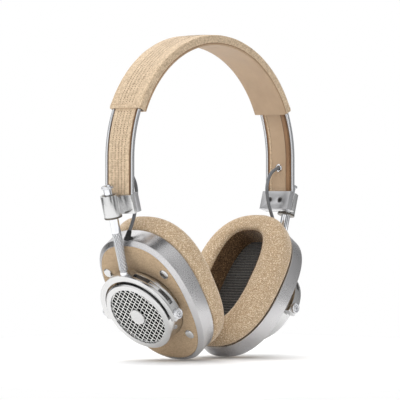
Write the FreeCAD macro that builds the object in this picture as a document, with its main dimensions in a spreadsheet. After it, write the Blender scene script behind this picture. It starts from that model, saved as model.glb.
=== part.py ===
import FreeCAD, Part
import math
import os
import Sketcher

# Over ear headphones, folded in: millimetres, +Z up, -Y towards the front.
# The origin is the saddle, the highest point of the headband's lining, which rests on the head.
# "left" is the -X side. Each side hangs on a swivelling, sliding steel rod, and the ear cup
# tilts in a half-ring yoke at the rod's foot.

doc = FreeCAD.newDocument("headphones")

DRIVING_SIZES = {
    # headband, measured from the centre of its half circle
    "band_inner_radius": 66.5,
    "liner_thickness": 1.3,
    "padding_thickness": 1.4,
    "strap_thickness": 2.5,
    "strap_width": 16.0,
    "cover_wall": 1.15,
    "cover_side_wall": 0.95,
    "cover_width": 24.5,
    "cover_half_angle": 66.2,
    "layer_gap": 0.05,
    "rail_radius": 1.1,
    "rail_spacing": 19.8,
    "rail_drop": 20.0,
    "rail_grip": 3.6,
    "cable_width": 3.0,
    "cable_thickness": 0.9,
    # end block, barrel and rod
    "block_width": 22.6,
    "block_height": 11.0,
    "block_outer_depth": 3.2,
    "block_inner_depth": 3.6,
    "block_edge": 0.5,
    "seam_offset": 8.9,
    "rod_reach": 46.8,
    "rod_lean": 16.3,
    "rod_radius": 2.7,
    "knurl_rise": 0.05,
    "knurl_start": 3.5,
    "knurl_end": 26.0,
    "collar_length": 2.9,
    "groove_depth": 0.4,
    "rod_above_barrel": 3.8,
    "running_clearance": 0.05,
    "bush_wall": 1.25,
    "bush_lip": 0.05,
    "bush_flange": 1.0,
    "barrel_wall": 1.1,
    "barrel_length": 12.5,
    "barrel_step": 0.3,
    "web_share": 0.8,
    "web_inset": 0.6,
    "cap_radius": 3.6,
    "cap_thickness": 1.6,
    "cap_stud_radius": 1.2,
    "cap_stud_length": 4.0,
    "cap_foot_edge": 0.3,
    "cap_edge": 0.4,
    "dimple_radius": 1.44,
    "dimple_depth": 0.6,
    "stud_end_gap": 0.2,
    # small fasteners
    "clamp_screw_spacing": 8.0,
    "clamp_screw_radius": 0.9,
    "clamp_head_radius": 1.6,
    "clamp_head_length": 0.9,
    "clamp_head_sink": 0.1,
    "sink_depth": 1.0,
    "thread_depth": 2.2,
    "thread_length": 1.9,
    "eyelet_drop": 5.0,
    "eyelet_radius": 2.4,
    "eyelet_flange": 0.6,
    "eyelet_depth": 1.6,
    "eyelet_edge": 0.2,
    "eyelet_tube": 0.8,
    "lead_radius": 1.0,
    "lead_clearance": 0.3,
    "lead_straight": 8.7,
    # yoke, pivots and keys
    "cup_lean": 34.35,
    "drum_radius": 22.5,
    "yoke_gap": 1.2,
    "yoke_wall": 3.6,
    "yoke_margin": 0.4,
    "yoke_tail": 3.5,
    "rod_seat": 1.3,
    "pivot_radius": 1.25,
    "pivot_head_radius": 3.2,
    "pivot_head_length": 1.8,
    "pivot_end_gap": 0.8,
    "slot_width": 2.6,
    "slot_depth": 2.2,
    "slot_middle": 45.0,
    "slot_sweep": 60.0,
    "key_proud": 0.2,
    "key_thickness": 1.75,
    "key_clearance": 0.1,
    "key_sweep": 15.4,
    "key_pitch": 17.2,
    "power_key_sweep": 34.0,
    "key_end_room": 1.2,
    # ear cup: outline of the face, depths measured back from the face
    "cup_half_width": 28.8,
    "cup_half_height": 39.65,
    "cup_rise": 0.75,
    "cup_taper": 0.03,
    "cup_squareness": 2.5,
    "rod_side_gap": 0.32,
    "face_thickness": 3.0,
    "rim_wall": 2.8,
    "rim_bevel_depth": 2.1,
    "rim_lip": 0.2,
    "rim_lip_drop": 0.3,
    "rim_depth": 12.7,
    "fit_gap": 0.15,
    "drum_top": 4.9,
    "drum_wall": 4.1,
    "drum_edge": 0.7,
    "drum_back": 6.0,
    "bezel_width": 3.6,
    "grille_thickness": 0.8,
    "grille_recess": 0.4,
    "disc_radius": 4.9,
    "disc_thickness": 0.8,
    "stud_head_radius": 3.0,
    "stud_head": 1.1,
    "stud_radius": 1.4,
    "baffle_thickness": 2.0,
    "driver_inset": 2.5,
    "driver_depth": 4.0,
    "driver_wall": 1.6,
    "magnet_radius": 11.0,
    "magnet_length": 6.0,
    "diaphragm_thickness": 0.3,
    "diaphragm_inset": 0.9,
    "dome_height": 1.1,
    "dome_radius": 7.7,
    "basket_floor": 0.8,
    "basket_seat": 3.0,
    "cloth_thickness": 0.6,
    "cushion_depth": 15.7,
    "cushion_bulge": 3.4,
    "cushion_opening": 12.0,
    "relief_radius": 2.2,
    "relief_shoulder": 0.35,
    "relief_boss": 2.3,
    "relief_nose": 3.9,
    "relief_nose_radius": 1.35,
    "relief_setback": 4.3,
    "relief_side": 2.0,
    "relief_lean": 28.0,
    "battery_inset": 16.8,
    "pocket_gap": 1.2,
    "battery_width": 9.5,
    "battery_thickness": 5.0,
    "board_thickness": 1.6,
    "socket_width": 8.9,
    "socket_height": 3.2,
    "socket_length": 6.5,
    "socket_wall": 0.5,
}

sheet = doc.addObject("Spreadsheet::Sheet", "sizes")
for row, (alias, number) in enumerate(DRIVING_SIZES.items(), start=1):
    sheet.set("A%d" % row, alias)
    sheet.set("B%d" % row, str(number))
    sheet.setAlias("B%d" % row, alias)
doc.recompute()

finished = []


def size(expression):
    """Value of a sheet alias or of an expression over aliases written as sizes.NAME."""
    text = "sizes." + expression if expression.isidentifier() else expression
    value = sheet.evalExpression(text)
    return float(getattr(value, "Value", value))


def keep(thing, label, placement=None):
    """Registers a finished sub-part under the name of its file."""
    thing.Label = label
    if placement is not None:
        thing.Placement = placement
    finished.append(thing)
    return thing


def bind(thing, **expressions):
    """Binds properties of a document object to sheet expressions."""
    for name, expression in expressions.items():
        thing.setExpression(name, expression)


def frame_at(base, x_direction, y_direction, z_direction):
    """Placement with the given origin and axes."""
    columns = zip(x_direction, y_direction, z_direction, base)
    numbers = [value for line in columns for value in line]
    return FreeCAD.Placement(FreeCAD.Matrix(*numbers, 0, 0, 0, 1))


def turned(base, axis, angle):
    return FreeCAD.Placement(FreeCAD.Vector(*base), FreeCAD.Rotation(FreeCAD.Vector(*axis), angle))


# Derived levels, as expressions over the sheet

ON_AXIS = "0 mm"
ARC_CENTRE = "-sizes.band_inner_radius"
LINER_OUT = "sizes.band_inner_radius + sizes.liner_thickness"
PADDING_IN = LINER_OUT + " + sizes.layer_gap"
PADDING_OUT = PADDING_IN + " + sizes.padding_thickness"
STRAP_IN = PADDING_OUT + " + sizes.layer_gap"
STRAP_OUT = STRAP_IN + " + sizes.strap_thickness"
RAIL_LINE = STRAP_IN + " + sizes.strap_thickness / 2"
COVER_IN = STRAP_OUT + " + sizes.layer_gap"
COVER_OUT = COVER_IN + " + sizes.cover_wall"
BLOCK_TOP = ARC_CENTRE + " - sizes.rail_drop"
STRAP_END = BLOCK_TOP + " - sizes.rail_grip"
BUSH_BORE = "sizes.rod_radius + sizes.running_clearance"
BUSH_OUT = BUSH_BORE + " + sizes.bush_wall"
BARREL_BORE = BUSH_OUT + " + sizes.running_clearance"
BARREL_OUT = BARREL_BORE + " + sizes.barrel_wall"
BLOCK_LOW = "sizes.rod_reach - sizes.block_height"
BARREL_LOW = BLOCK_LOW + " + sizes.barrel_step"
BARREL_HIGH = BARREL_LOW + " + sizes.barrel_length"
CAP_LEVEL = BARREL_HIGH + " + sizes.rod_above_barrel"
YOKE_WIDTH = "2 * (sizes.rod_radius + sizes.yoke_margin)"
YOKE_IN = "sizes.drum_radius + sizes.yoke_gap"
YOKE_OUT = YOKE_IN + " + sizes.yoke_wall"
YOKE_MIDDLE = YOKE_IN + " + sizes.yoke_wall / 2"
SLOT_FLOOR = YOKE_OUT + " - sizes.slot_depth"
KEY_OUT = YOKE_OUT + " + sizes.key_proud"
KEY_IN = KEY_OUT + " - sizes.key_thickness"
DRUM_BORE = "sizes.drum_radius - sizes.drum_wall"
GRILLE_RADIUS = "sizes.drum_radius - sizes.bezel_width"
DRIVER_RADIUS = "sizes.drum_radius - sizes.driver_inset"
BATTERY_LENGTH = "2 * (sizes.cup_half_width - sizes.battery_inset)"
# The face lies as far behind the tilt axis as the leaning rod needs to clear the cup's upper edge
ROD_TO_CUP = "(sizes.cup_lean - sizes.rod_lean)"
FACE_TOP = "sizes.cup_rise + sizes.cup_half_height + sizes.fit_gap + sizes.rim_lip"
ROD_ROOM = "sizes.rod_radius + sizes.knurl_rise + sizes.rod_side_gap"
SIDE_REACH = "(%s - (%s)) * sin(%s)" % (FACE_TOP, YOKE_MIDDLE, ROD_TO_CUP)
FACE = "-(%s + %s) / cos(%s)" % (SIDE_REACH, ROD_ROOM, ROD_TO_CUP)
RIM_BACK = FACE + " - sizes.rim_depth"
BAFFLE_FRONT = RIM_BACK + " + sizes.baffle_thickness"
DRIVER_TOP = RIM_BACK + " + sizes.driver_depth"
GRILLE_TOP = "sizes.drum_top - sizes.grille_recess"


def side_frames(sign):
    """Frames of one side: the rod's, with Z up the rod and X outward, and the cup's.

    The cup's frame has Z out of the face, Y up the face and its origin on the tilt axis.
    """
    lean = math.radians(size("rod_lean"))
    tilt = math.radians(size("cup_lean"))
    up = FreeCAD.Vector(sign * math.sin(lean), 0, math.cos(lean))
    out = FreeCAD.Vector(sign * math.cos(lean), 0, -math.sin(lean))
    seam_top = FreeCAD.Vector(sign * size(RAIL_LINE), 0, size(BLOCK_TOP))
    foot = seam_top - up * size("rod_reach") + out * size("seam_offset")
    face_up = FreeCAD.Vector(sign * math.sin(tilt), 0, math.cos(tilt))
    face_out = FreeCAD.Vector(sign * math.cos(tilt), 0, -math.sin(tilt))
    pivot = foot - face_up * size(YOKE_MIDDLE)
    across = FreeCAD.Vector(0, sign, 0)
    return frame_at(foot, out, across, up), frame_at(pivot, across, face_up, face_out)


# Builders

def new_sketch(body, plane_role):
    """Empty sketch on one of the body's own origin planes."""
    plane = [entry for entry in body.Origin.OriginFeatures if entry.Role == plane_role][0]
    sketch = body.newObject("Sketcher::SketchObject", body.Name + "_sketch")
    sketch.AttachmentSupport = [(plane, "")]
    sketch.MapMode = "FlatFace"
    return sketch


def outline(sketch, corners):
    """Closed polygon whose corners are pairs of sheet expressions, each bound by two constraints."""
    points = [FreeCAD.Vector(size(across), size(along), 0) for across, along in corners]
    count = len(points)
    for index in range(count):
        sketch.addGeometry(Part.LineSegment(points[index], points[(index + 1) % count]), False)
    for index in range(count):
        sketch.addConstraint(Sketcher.Constraint("Coincident", index, 2, (index + 1) % count, 1))
    for index, (across, along) in enumerate(corners):
        for kind, expression in (("DistanceX", across), ("DistanceY", along)):
            value = size(expression)
            number = sketch.addConstraint(Sketcher.Constraint(kind, -1, 1, index, 1, value))
            sketch.setExpression("Constraints[%d]" % number, expression)


def lathe(label, corners, placement, axis="V_Axis", plane="XZ_Plane", angle="360"):
    """Body turned from a profile of (radius, height) corners."""
    body = doc.addObject("PartDesign::Body", label.replace(".", "_"))
    sketch = new_sketch(body, plane)
    outline(sketch, corners)
    turn = body.newObject("PartDesign::Revolution", body.Name + "_turn")
    turn.Profile = sketch
    turn.ReferenceAxis = (sketch, [axis])
    turn.Angle = size(angle) if "sizes." in angle else float(angle)
    if "sizes." in angle:
        turn.Midplane = True
        turn.setExpression("Angle", angle)
    body.Tip = turn
    body.Placement = placement
    return body


def cylinder(name, radius, height, base=(0, 0, 0), axis=(0, 0, 1), spin=0.0):
    """Part cylinder with bound radius and height, its foot at base, pointing along axis."""
    rod = doc.addObject("Part::Cylinder", name)
    bind(rod, Radius=radius, Height=height)
    aim = FreeCAD.Rotation(FreeCAD.Vector(0, 0, 1), FreeCAD.Vector(*axis))
    turn = FreeCAD.Rotation(FreeCAD.Vector(0, 0, 1), spin)
    rod.Placement = FreeCAD.Placement(FreeCAD.Vector(*base), aim * turn)
    return rod


def block(name, length, width, height, corner):
    """Part box with bound sides and one corner at the given expressions."""
    box = doc.addObject("Part::Box", name)
    bind(box, Length=length, Width=width, Height=height)
    for axis, expression in zip("xyz", corner):
        box.setExpression("Placement.Base." + axis, expression)
    return box


def cut(name, base, tools):
    """Base less every tool."""
    if len(tools) > 1:
        tool = doc.addObject("Part::MultiFuse", name + "_tools")
        tool.Shapes = tools
    else:
        tool = tools[0]
    result = doc.addObject("Part::Cut", name)
    result.Base = base
    result.Tool = tool
    return result


def join(name, pieces):
    result = doc.addObject("Part::MultiFuse", name)
    result.Shapes = pieces
    return result


def group(name, pieces):
    """Several separate solids kept as one sub-part, such as a set of screws."""
    result = doc.addObject("Part::Compound", name)
    result.Links = pieces
    return result


def solid(name, shape, placement=None):
    """Sub-part whose shape comes from Part's own functions."""
    thing = doc.addObject("Part::Feature", name)
    thing.Shape = shape
    if placement is not None:
        thing.Placement = placement
    return thing


# Headband

def band_layer(label, corners):
    """Layer of the padded headband: a profile of (across, radius) swept round its half circle."""
    centre = turned((0, 0, size(ARC_CENTRE)), (0, 0, 1), 0)
    body = lathe(label, corners, centre, "H_Axis", "YZ_Plane", "2 * sizes.cover_half_angle")
    body.setExpression("Placement.Base.z", ARC_CENTRE)
    return body


def rectangle(half_width, low, high):
    return [("-(%s)" % half_width, low), (half_width, low), (half_width, high),
            ("-(%s)" % half_width, high)]


def headband_layers():
    half = "sizes.cover_width / 2"
    inside = half + " - sizes.cover_side_wall"
    sides = "-(%s)" % half
    keep(band_layer("headband_liner", rectangle(half, "sizes.band_inner_radius", LINER_OUT)),
         "headband_liner")
    cover = [(sides, LINER_OUT + " + sizes.layer_gap"), ("-(%s)" % inside, PADDING_IN),
             ("-(%s)" % inside, COVER_IN), (inside, COVER_IN), (inside, PADDING_IN),
             (half, PADDING_IN), (half, COVER_OUT), (sides, COVER_OUT)]
    keep(band_layer("headband_cover", cover), "headband_cover")
    channel = "sizes.cable_width / 2 + sizes.layer_gap"
    channel_top = PADDING_IN + " + sizes.cable_thickness + sizes.layer_gap"
    foam = inside + " - sizes.layer_gap"
    padding = [("-(%s)" % foam, PADDING_IN), ("-(%s)" % channel, PADDING_IN),
               ("-(%s)" % channel, channel_top), (channel, channel_top), (channel, PADDING_IN),
               (foam, PADDING_IN), (foam, PADDING_OUT), ("-(%s)" % foam, PADDING_OUT)]
    keep(band_layer("headband_padding", padding), "headband_padding")
    cable = rectangle("sizes.cable_width / 2", PADDING_IN, PADDING_IN + " + sizes.cable_thickness")
    keep(band_layer("headband_cable", cable), "headband_cable")


def half_ring_wire(radius, low):
    """Half circle of the given radius with straight legs down to a level."""
    centre = FreeCAD.Vector(0, 0, size(ARC_CENTRE))
    across = FreeCAD.Vector(size(radius), 0, 0)
    top = centre + FreeCAD.Vector(0, 0, size(radius))
    left, right = centre - across, centre + across
    leg = FreeCAD.Vector(0, 0, size(low) - centre.z)
    return [Part.LineSegment(left + leg, left).toShape(),
            Part.Arc(left, top, right).toShape(),
            Part.LineSegment(right, right + leg).toShape()]


def strap():
    """Narrow strap from block to block: a bent strip, with a blind hole for each eyelet."""
    outer = half_ring_wire(STRAP_OUT, STRAP_END)
    inner = half_ring_wire(STRAP_IN, STRAP_END)
    ends = []
    for corner in (0, 2):
        vertex = 0 if corner == 0 else 1
        here = outer[corner].Vertexes[vertex].Point
        there = inner[corner].Vertexes[vertex].Point
        ends.append(Part.LineSegment(here, there).toShape())
    loop = Part.Wire(Part.__sortEdges__(outer + inner + ends))
    width = size("strap_width")
    strip = Part.Face(loop).extrude(FreeCAD.Vector(0, width, 0))
    strip.translate(FreeCAD.Vector(0, -width / 2, 0))
    base = solid("strap_strip", strip)
    level = size(ARC_CENTRE) - size("eyelet_drop")
    reach = "sizes.eyelet_depth"
    holes = [cylinder("strap_hole_%s" % name, "sizes.lead_radius + sizes.eyelet_tube", reach,
                      (sign * size(STRAP_IN), 0, level), (sign, 0, 0))
             for name, sign in SIDES]
    keep(cut("strap", base, holes), "strap")


def rail(label, offset):
    """Round spring-steel rail bent over the head, its ends held in the two blocks."""
    edges = half_ring_wire(RAIL_LINE, STRAP_END)
    spine = Part.Wire(edges)
    start = edges[0].Vertexes[0].Point
    ring = Part.Wire(Part.Circle(start, FreeCAD.Vector(0, 0, 1), size("rail_radius")).toShape())
    bar = spine.makePipeShell([ring], True, False)
    keep(solid(label, bar), label, turned((0, offset, 0), (0, 0, 1), 0))


# End block, bush and rod

def seat_cutters(name, sign):
    """Room in the block and its clamp plate for both rails and the strap's end."""
    level = size(STRAP_END)
    cutters = []
    for half in (-1, 1):
        base = (sign * size(RAIL_LINE), half * size("rail_spacing") / 2, level)
        cutters.append(cylinder("%s_rail_seat" % name, "sizes.rail_radius", "4 * sizes.rail_grip", base))
    slot = block("%s_strap_seat" % name, "sizes.strap_thickness", "sizes.strap_width",
                 "4 * sizes.rail_grip", ("0", "-sizes.strap_width / 2", STRAP_END))
    slot.setExpression("Placement.Base.x", STRAP_IN if sign > 0 else "-(%s)" % STRAP_OUT)
    return cutters + [slot]


def slab(name, near, depth):
    """Flat plate of the block's size, between two distances inward of the rod's axis."""
    body = doc.addObject("PartDesign::Body", name)
    sketch = new_sketch(body, "YZ_Plane")
    low = BLOCK_LOW
    outline(sketch, rectangle("sizes.block_width / 2", low, "sizes.rod_reach"))
    pad = body.newObject("PartDesign::Pad", name + "_pad")
    pad.Profile = sketch
    pad.Reversed = True
    bind(pad, Length=depth)
    bevel = body.newObject("PartDesign::Chamfer", name + "_bevel")
    doc.recompute()
    upright = [index for index, edge in enumerate(pad.Shape.Edges, start=1)
               if abs(edge.tangentAt(edge.FirstParameter).z) > 0.99]
    bevel.Base = (pad, ["Edge%d" % index for index in upright])
    bind(bevel, Size="sizes.block_edge")
    body.Tip = bevel
    body.setExpression("Placement.Base.x", "-(%s)" % near)
    return body


def screw_axes():
    half = size("clamp_screw_spacing") / 2
    level = size("rod_reach") - size("block_height") / 2
    return [(half * step, level) for step in (-1, 1)]


def end_block(name, sign, rod_frame):
    """Outer half of the clamp with the barrel that carries the rod, in one piece."""
    inner_face = "sizes.seam_offset"
    plate = slab("%s_block_slab" % name, inner_face + " - sizes.block_outer_depth",
                 "sizes.block_outer_depth")
    barrel = cylinder("%s_barrel" % name, BARREL_OUT, "sizes.barrel_length", (0, 0, size(BARREL_LOW)))
    web_half = "(%s) * sizes.web_share" % BARREL_OUT
    web = block("%s_web" % name, "sizes.seam_offset - sizes.block_outer_depth",
                "2 * " + web_half, "sizes.block_height - 2 * sizes.web_inset",
                ("-(sizes.seam_offset - sizes.block_outer_depth)", "-" + web_half,
                 BLOCK_LOW + " + sizes.web_inset"))
    bore = cylinder("%s_barrel_bore" % name, BARREL_BORE, "2 * sizes.barrel_length",
                    (0, 0, size(BARREL_LOW) - size("barrel_length") / 2))
    screw_holes = [cylinder("%s_thread" % name, "sizes.clamp_screw_radius", "sizes.thread_depth",
                            (-size("seam_offset"), across, level), (1, 0, 0))
                   for across, level in screw_axes()]
    whole = cut("%s_block_whole" % name, join("%s_block_body" % name, [plate, barrel, web]),
                [bore] + screw_holes)
    whole.Placement = rod_frame
    label = "%s_end_block" % name
    keep(cut(label, whole, seat_cutters(name, sign)), label)


def clamp_plate(name, sign, rod_frame):
    """Inner half of the clamp, held by two small screws."""
    depth = "sizes.block_inner_depth"
    near = "sizes.seam_offset + sizes.layer_gap"
    plate = slab("%s_clamp_slab" % name, near, depth)
    face = -(size("seam_offset") + size("layer_gap") + size("block_inner_depth"))
    holes = []
    for across, level in screw_axes():
        start = (face - size("sink_depth"), across, level)
        holes.append(cylinder("%s_screw_hole" % name, "sizes.clamp_screw_radius + sizes.layer_gap",
                              depth + " + 2 * sizes.sink_depth", start, (1, 0, 0)))
        holes.append(cylinder("%s_screw_sink" % name, "sizes.clamp_head_radius + 2 * sizes.layer_gap",
                              "2 * sizes.sink_depth", start, (1, 0, 0)))
    drilled = cut("%s_clamp_drilled" % name, plate, holes)
    drilled.Placement = rod_frame
    label = "%s_clamp_plate" % name
    keep(cut(label, drilled, seat_cutters(name + "_plate", sign)), label)
    screws = []
    for across, level in screw_axes():
        start = (face + size("clamp_head_sink"), across, level)
        head = cylinder("%s_screw_head" % name, "sizes.clamp_head_radius", "sizes.clamp_head_length",
                        start, (1, 0, 0))
        shank = cylinder("%s_screw_shank" % name, "sizes.clamp_screw_radius",
                         depth + " + sizes.thread_length", start, (1, 0, 0))
        screws.append(join("%s_clamp_screw" % name, [head, shank]))
    label = "%s_clamp_screws" % name
    keep(group(label, screws), label, rod_frame)


def eyelet(name, sign):
    """Metal eyelet set in the strap's inner face, round the lead."""
    bore = "sizes.lead_radius + sizes.lead_clearance"
    tube = "sizes.lead_radius + sizes.eyelet_tube"
    corners = [(bore, "-sizes.eyelet_depth"), (tube, "-sizes.eyelet_depth"), (tube, ON_AXIS),
               ("sizes.eyelet_radius", ON_AXIS),
               ("sizes.eyelet_radius - sizes.eyelet_edge", "sizes.eyelet_flange"),
               (bore, "sizes.eyelet_flange")]
    seat = FreeCAD.Vector(sign * size(STRAP_IN), 0, size(ARC_CENTRE) - size("eyelet_drop"))
    aim = FreeCAD.Rotation(FreeCAD.Vector(0, 0, 1), FreeCAD.Vector(-sign, 0, 0))
    label = "%s_eyelet" % name
    keep(lathe(label, corners, FreeCAD.Placement(seat, aim)), label)


def friction_bush(name, rod_frame):
    """Flanged bush in the barrel, which grips the sliding rod and turns with it."""
    low = BARREL_LOW + " - 2 * sizes.layer_gap"
    flange = BARREL_OUT + " + sizes.bush_lip"
    corners = [(BUSH_BORE, low + " - sizes.bush_flange"),
               (flange, low + " - sizes.bush_flange"), (flange, low), (BUSH_OUT, low),
               (BUSH_OUT, BARREL_HIGH),
               (BUSH_BORE, BARREL_HIGH)]
    label = "%s_friction_bush" % name
    keep(lathe(label, corners, rod_frame), label)


def rod_and_cap(name, rod_frame):
    """Rod with a foot collar, a knurled length and a plain length, and its screwed-in cap."""
    knurl = "sizes.rod_radius + sizes.knurl_rise"
    neck = "sizes.rod_radius - sizes.groove_depth"
    stud = "sizes.cap_stud_radius"
    hole_floor = CAP_LEVEL + " - sizes.cap_stud_length"
    corners = [(ON_AXIS, "-sizes.rod_seat"), ("sizes.rod_radius", "-sizes.rod_seat"),
               ("sizes.rod_radius", "sizes.collar_length"), (neck, "sizes.collar_length"),
               (neck, "sizes.knurl_start"), (knurl, "sizes.knurl_start"),
               (knurl, "sizes.knurl_end"), ("sizes.rod_radius", "sizes.knurl_end"),
               ("sizes.rod_radius", CAP_LEVEL), (stud, CAP_LEVEL), (stud, hole_floor),
               (ON_AXIS, hole_floor)]
    label = "%s_rod" % name
    keep(lathe(label, corners, rod_frame), label)
    top = CAP_LEVEL + " + sizes.cap_thickness"
    stud_end = hole_floor + " + sizes.stud_end_gap"
    corners = [(ON_AXIS, stud_end), (stud, stud_end), (stud, CAP_LEVEL),
               ("sizes.cap_radius - sizes.cap_foot_edge", CAP_LEVEL),
               ("sizes.cap_radius", CAP_LEVEL + " + sizes.cap_foot_edge"),
               ("sizes.cap_radius", top + " - sizes.cap_edge"),
               ("sizes.cap_radius - sizes.cap_edge", top), ("sizes.dimple_radius", top),
               (ON_AXIS, top + " - sizes.dimple_depth")]
    label = "%s_rod_cap" % name
    keep(lathe(label, corners, rod_frame), label)


# Yoke, pivots and keys

def ring_piece(name, outer, inner, width, start, sweep):
    """Piece of a flat ring round the cup frame's Z axis, centred on Z = 0."""
    sector = doc.addObject("Part::Cylinder", name + "_sector")
    bind(sector, Radius=outer, Height=width)
    sector.Angle = sweep
    sector.Placement = turned((0, 0, -size(width) / 2), (0, 0, 1), start)
    core = cylinder(name + "_core", inner, width + " + 2", (0, 0, -size(width) / 2 - 1))
    return cut(name, sector, [core])


def yoke(name, cup_frame, keys):
    """Half-ring fork round the cup's drum, with the rod's seat, pivot holes and key slots."""
    ring = ring_piece(name + "_ring", YOKE_OUT, YOKE_IN, YOKE_WIDTH, 0, 360)
    below = block(name + "_below", "4 * (%s)" % YOKE_OUT, "2 * (%s)" % YOKE_OUT, "4 * (%s)" % YOKE_WIDTH,
                  ("-2 * (%s)" % YOKE_OUT, "-2 * (%s) - sizes.yoke_tail" % YOKE_OUT,
                   "-2 * (%s)" % YOKE_WIDTH))
    lean = math.radians(size("cup_lean") - size("rod_lean"))
    up_rod = FreeCAD.Vector(0, math.cos(lean), -math.sin(lean))
    seat_base = FreeCAD.Vector(0, size(YOKE_MIDDLE), 0) - up_rod * size("rod_seat")
    seat = cylinder(name + "_rod_seat", "sizes.rod_radius", "4 * sizes.rod_seat + 4",
                    tuple(seat_base), tuple(up_rod))
    pivots = cylinder(name + "_pivot_holes", "sizes.pivot_radius", "3 * (%s)" % YOKE_OUT,
                      (-1.5 * size(YOKE_OUT), 0, 0), (1, 0, 0))
    tools = [below, seat, pivots]
    for number, (middle, sweep) in enumerate(keys):
        start = middle - sweep / 2
        tools.append(ring_piece("%s_slot_%d" % (name, number), YOKE_OUT + " + 1", SLOT_FLOOR,
                                "sizes.slot_width", start, sweep))
    label = name + "_yoke"
    keep(cut(label, ring, tools), label, cup_frame)


def pivot_screws(name, cup_frame):
    """The two shouldered screws that the cup tilts on, their heads outside the fork."""
    shank_end = size(DRUM_BORE) + size("pivot_end_gap")
    screws = []
    for hand in (-1, 1):
        start = (hand * size(YOKE_OUT), 0, 0)
        head = cylinder(name + "_pivot_head", "sizes.pivot_head_radius", "sizes.pivot_head_length",
                        start, (hand, 0, 0))
        shank = cylinder(name + "_pivot_shank", "sizes.pivot_radius",
                         "%s - (%s + sizes.pivot_end_gap)" % (YOKE_OUT, DRUM_BORE),
                         (hand * shank_end, 0, 0), (hand, 0, 0))
        screws.append(join(name + "_pivot_screw", [head, shank]))
    label = name + "_pivot_screws"
    keep(group(label, screws), label, cup_frame)


def key(label, middle, sweep, cup_frame):
    """Push key that follows the yoke's curve."""
    piece = ring_piece(label + "_arc", KEY_OUT, KEY_IN, "sizes.slot_width - 2 * sizes.key_clearance",
                       middle - sweep / 2, sweep)
    keep(piece, label, cup_frame)


# Ear cup

def egg(grow, level, count=32):
    """Closed curve round the cup: the face's rounded egg outline, moved out by grow."""
    half_width, half_height = size("cup_half_width"), size("cup_half_height")
    power = size("cup_squareness")
    points = []
    for step in range(count):
        angle = 2 * math.pi * (step + 0.5) / count
        cosine, sine = math.cos(angle), math.sin(angle)
        total = abs(cosine / half_width) ** power + abs(sine / half_height) ** power
        radius = total ** (-1 / power)
        across, along = radius * cosine, radius * sine
        slope_x = math.copysign(abs(across) ** (power - 1) / half_width ** power, across)
        slope_y = math.copysign(abs(along) ** (power - 1) / half_height ** power, along)
        length = math.hypot(slope_x, slope_y)
        widen = 1 + size("cup_taper") * along / half_height
        points.append(FreeCAD.Vector(across * widen + grow * slope_x / length,
                                     along + grow * slope_y / length + size("cup_rise"), level))
    curve = Part.BSplineCurve()
    curve.interpolate(points, PeriodicFlag=True)
    return Part.Wire(curve.toShape())


def egg_solid(sections):
    """Solid lofted through (grow, level) sections of the cup's outline."""
    return Part.makeLoft([egg(grow, level) for grow, level in sections], True, True)


def egg_plate(grow, low, high):
    return Part.Face(egg(grow, low)).extrude(FreeCAD.Vector(0, 0, high - low))


def stud_places():
    """Four studs on the face, spaced by the cup's own size."""
    wide, tall = size("cup_half_width"), size("cup_half_height")
    upper, lower = (wide - 6.8, tall - 18.15), (wide - 8.8, 18.65 - tall)
    return [(hand * across, along) for across, along in (upper, lower) for hand in (-1, 1)]


def rim(name, cup_frame, socket=False):
    """Metal rim round the cup, bevelled towards the face."""
    wall, face, back = size("rim_wall"), size(FACE), size(RIM_BACK)
    gap = size("fit_gap")
    front = face - size("rim_lip_drop")
    outside = egg_solid([(gap + size("rim_lip"), front), (wall + gap, front - size("rim_bevel_depth")),
                         (wall + gap, back)])
    shape = outside.cut(egg_plate(gap, back - 1, face + 1))
    base = solid("%s_rim_ring" % name, shape)
    label = "%s_rim" % name
    if not socket:
        keep(base, label, cup_frame)
        return
    keep(cut(label, base, [socket_body(name + "_port", size("layer_gap"))]), label, cup_frame)


def socket_body(name, grow):
    """Charging socket's shell, through the rim at the cup's lowest point."""
    low = size("cup_rise") - size("cup_half_height") - size("rim_wall") - size("fit_gap")
    level = size(FACE) - size("rim_depth") / 2
    body = doc.addObject("Part::Box", name)
    bind(body, Length="sizes.socket_width + %s" % (2 * grow), Width="sizes.socket_length",
         Height="sizes.socket_height + %s" % (2 * grow))
    corner = (-size("socket_width") / 2 - grow, low, level - size("socket_height") / 2 - grow)
    body.Placement = turned(corner, (0, 0, 1), 0)
    return body


def charge_socket(name, cup_frame):
    body = socket_body(name + "_socket_shell", 0.0)
    low = body.Placement.Base
    wall = size("socket_wall")
    mouth = block(name + "_socket_mouth", "sizes.socket_width - 2 * sizes.socket_wall",
                  "sizes.socket_length - 2 * sizes.socket_wall",
                  "sizes.socket_height - 2 * sizes.socket_wall", ("0 mm", "0 mm", "0 mm"))
    mouth.Placement = turned((low.x + wall, low.y - wall, low.z + wall), (0, 0, 1), 0)
    label = name + "_charge_socket"
    keep(cut(label, body, [mouth]), label, cup_frame)


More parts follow.
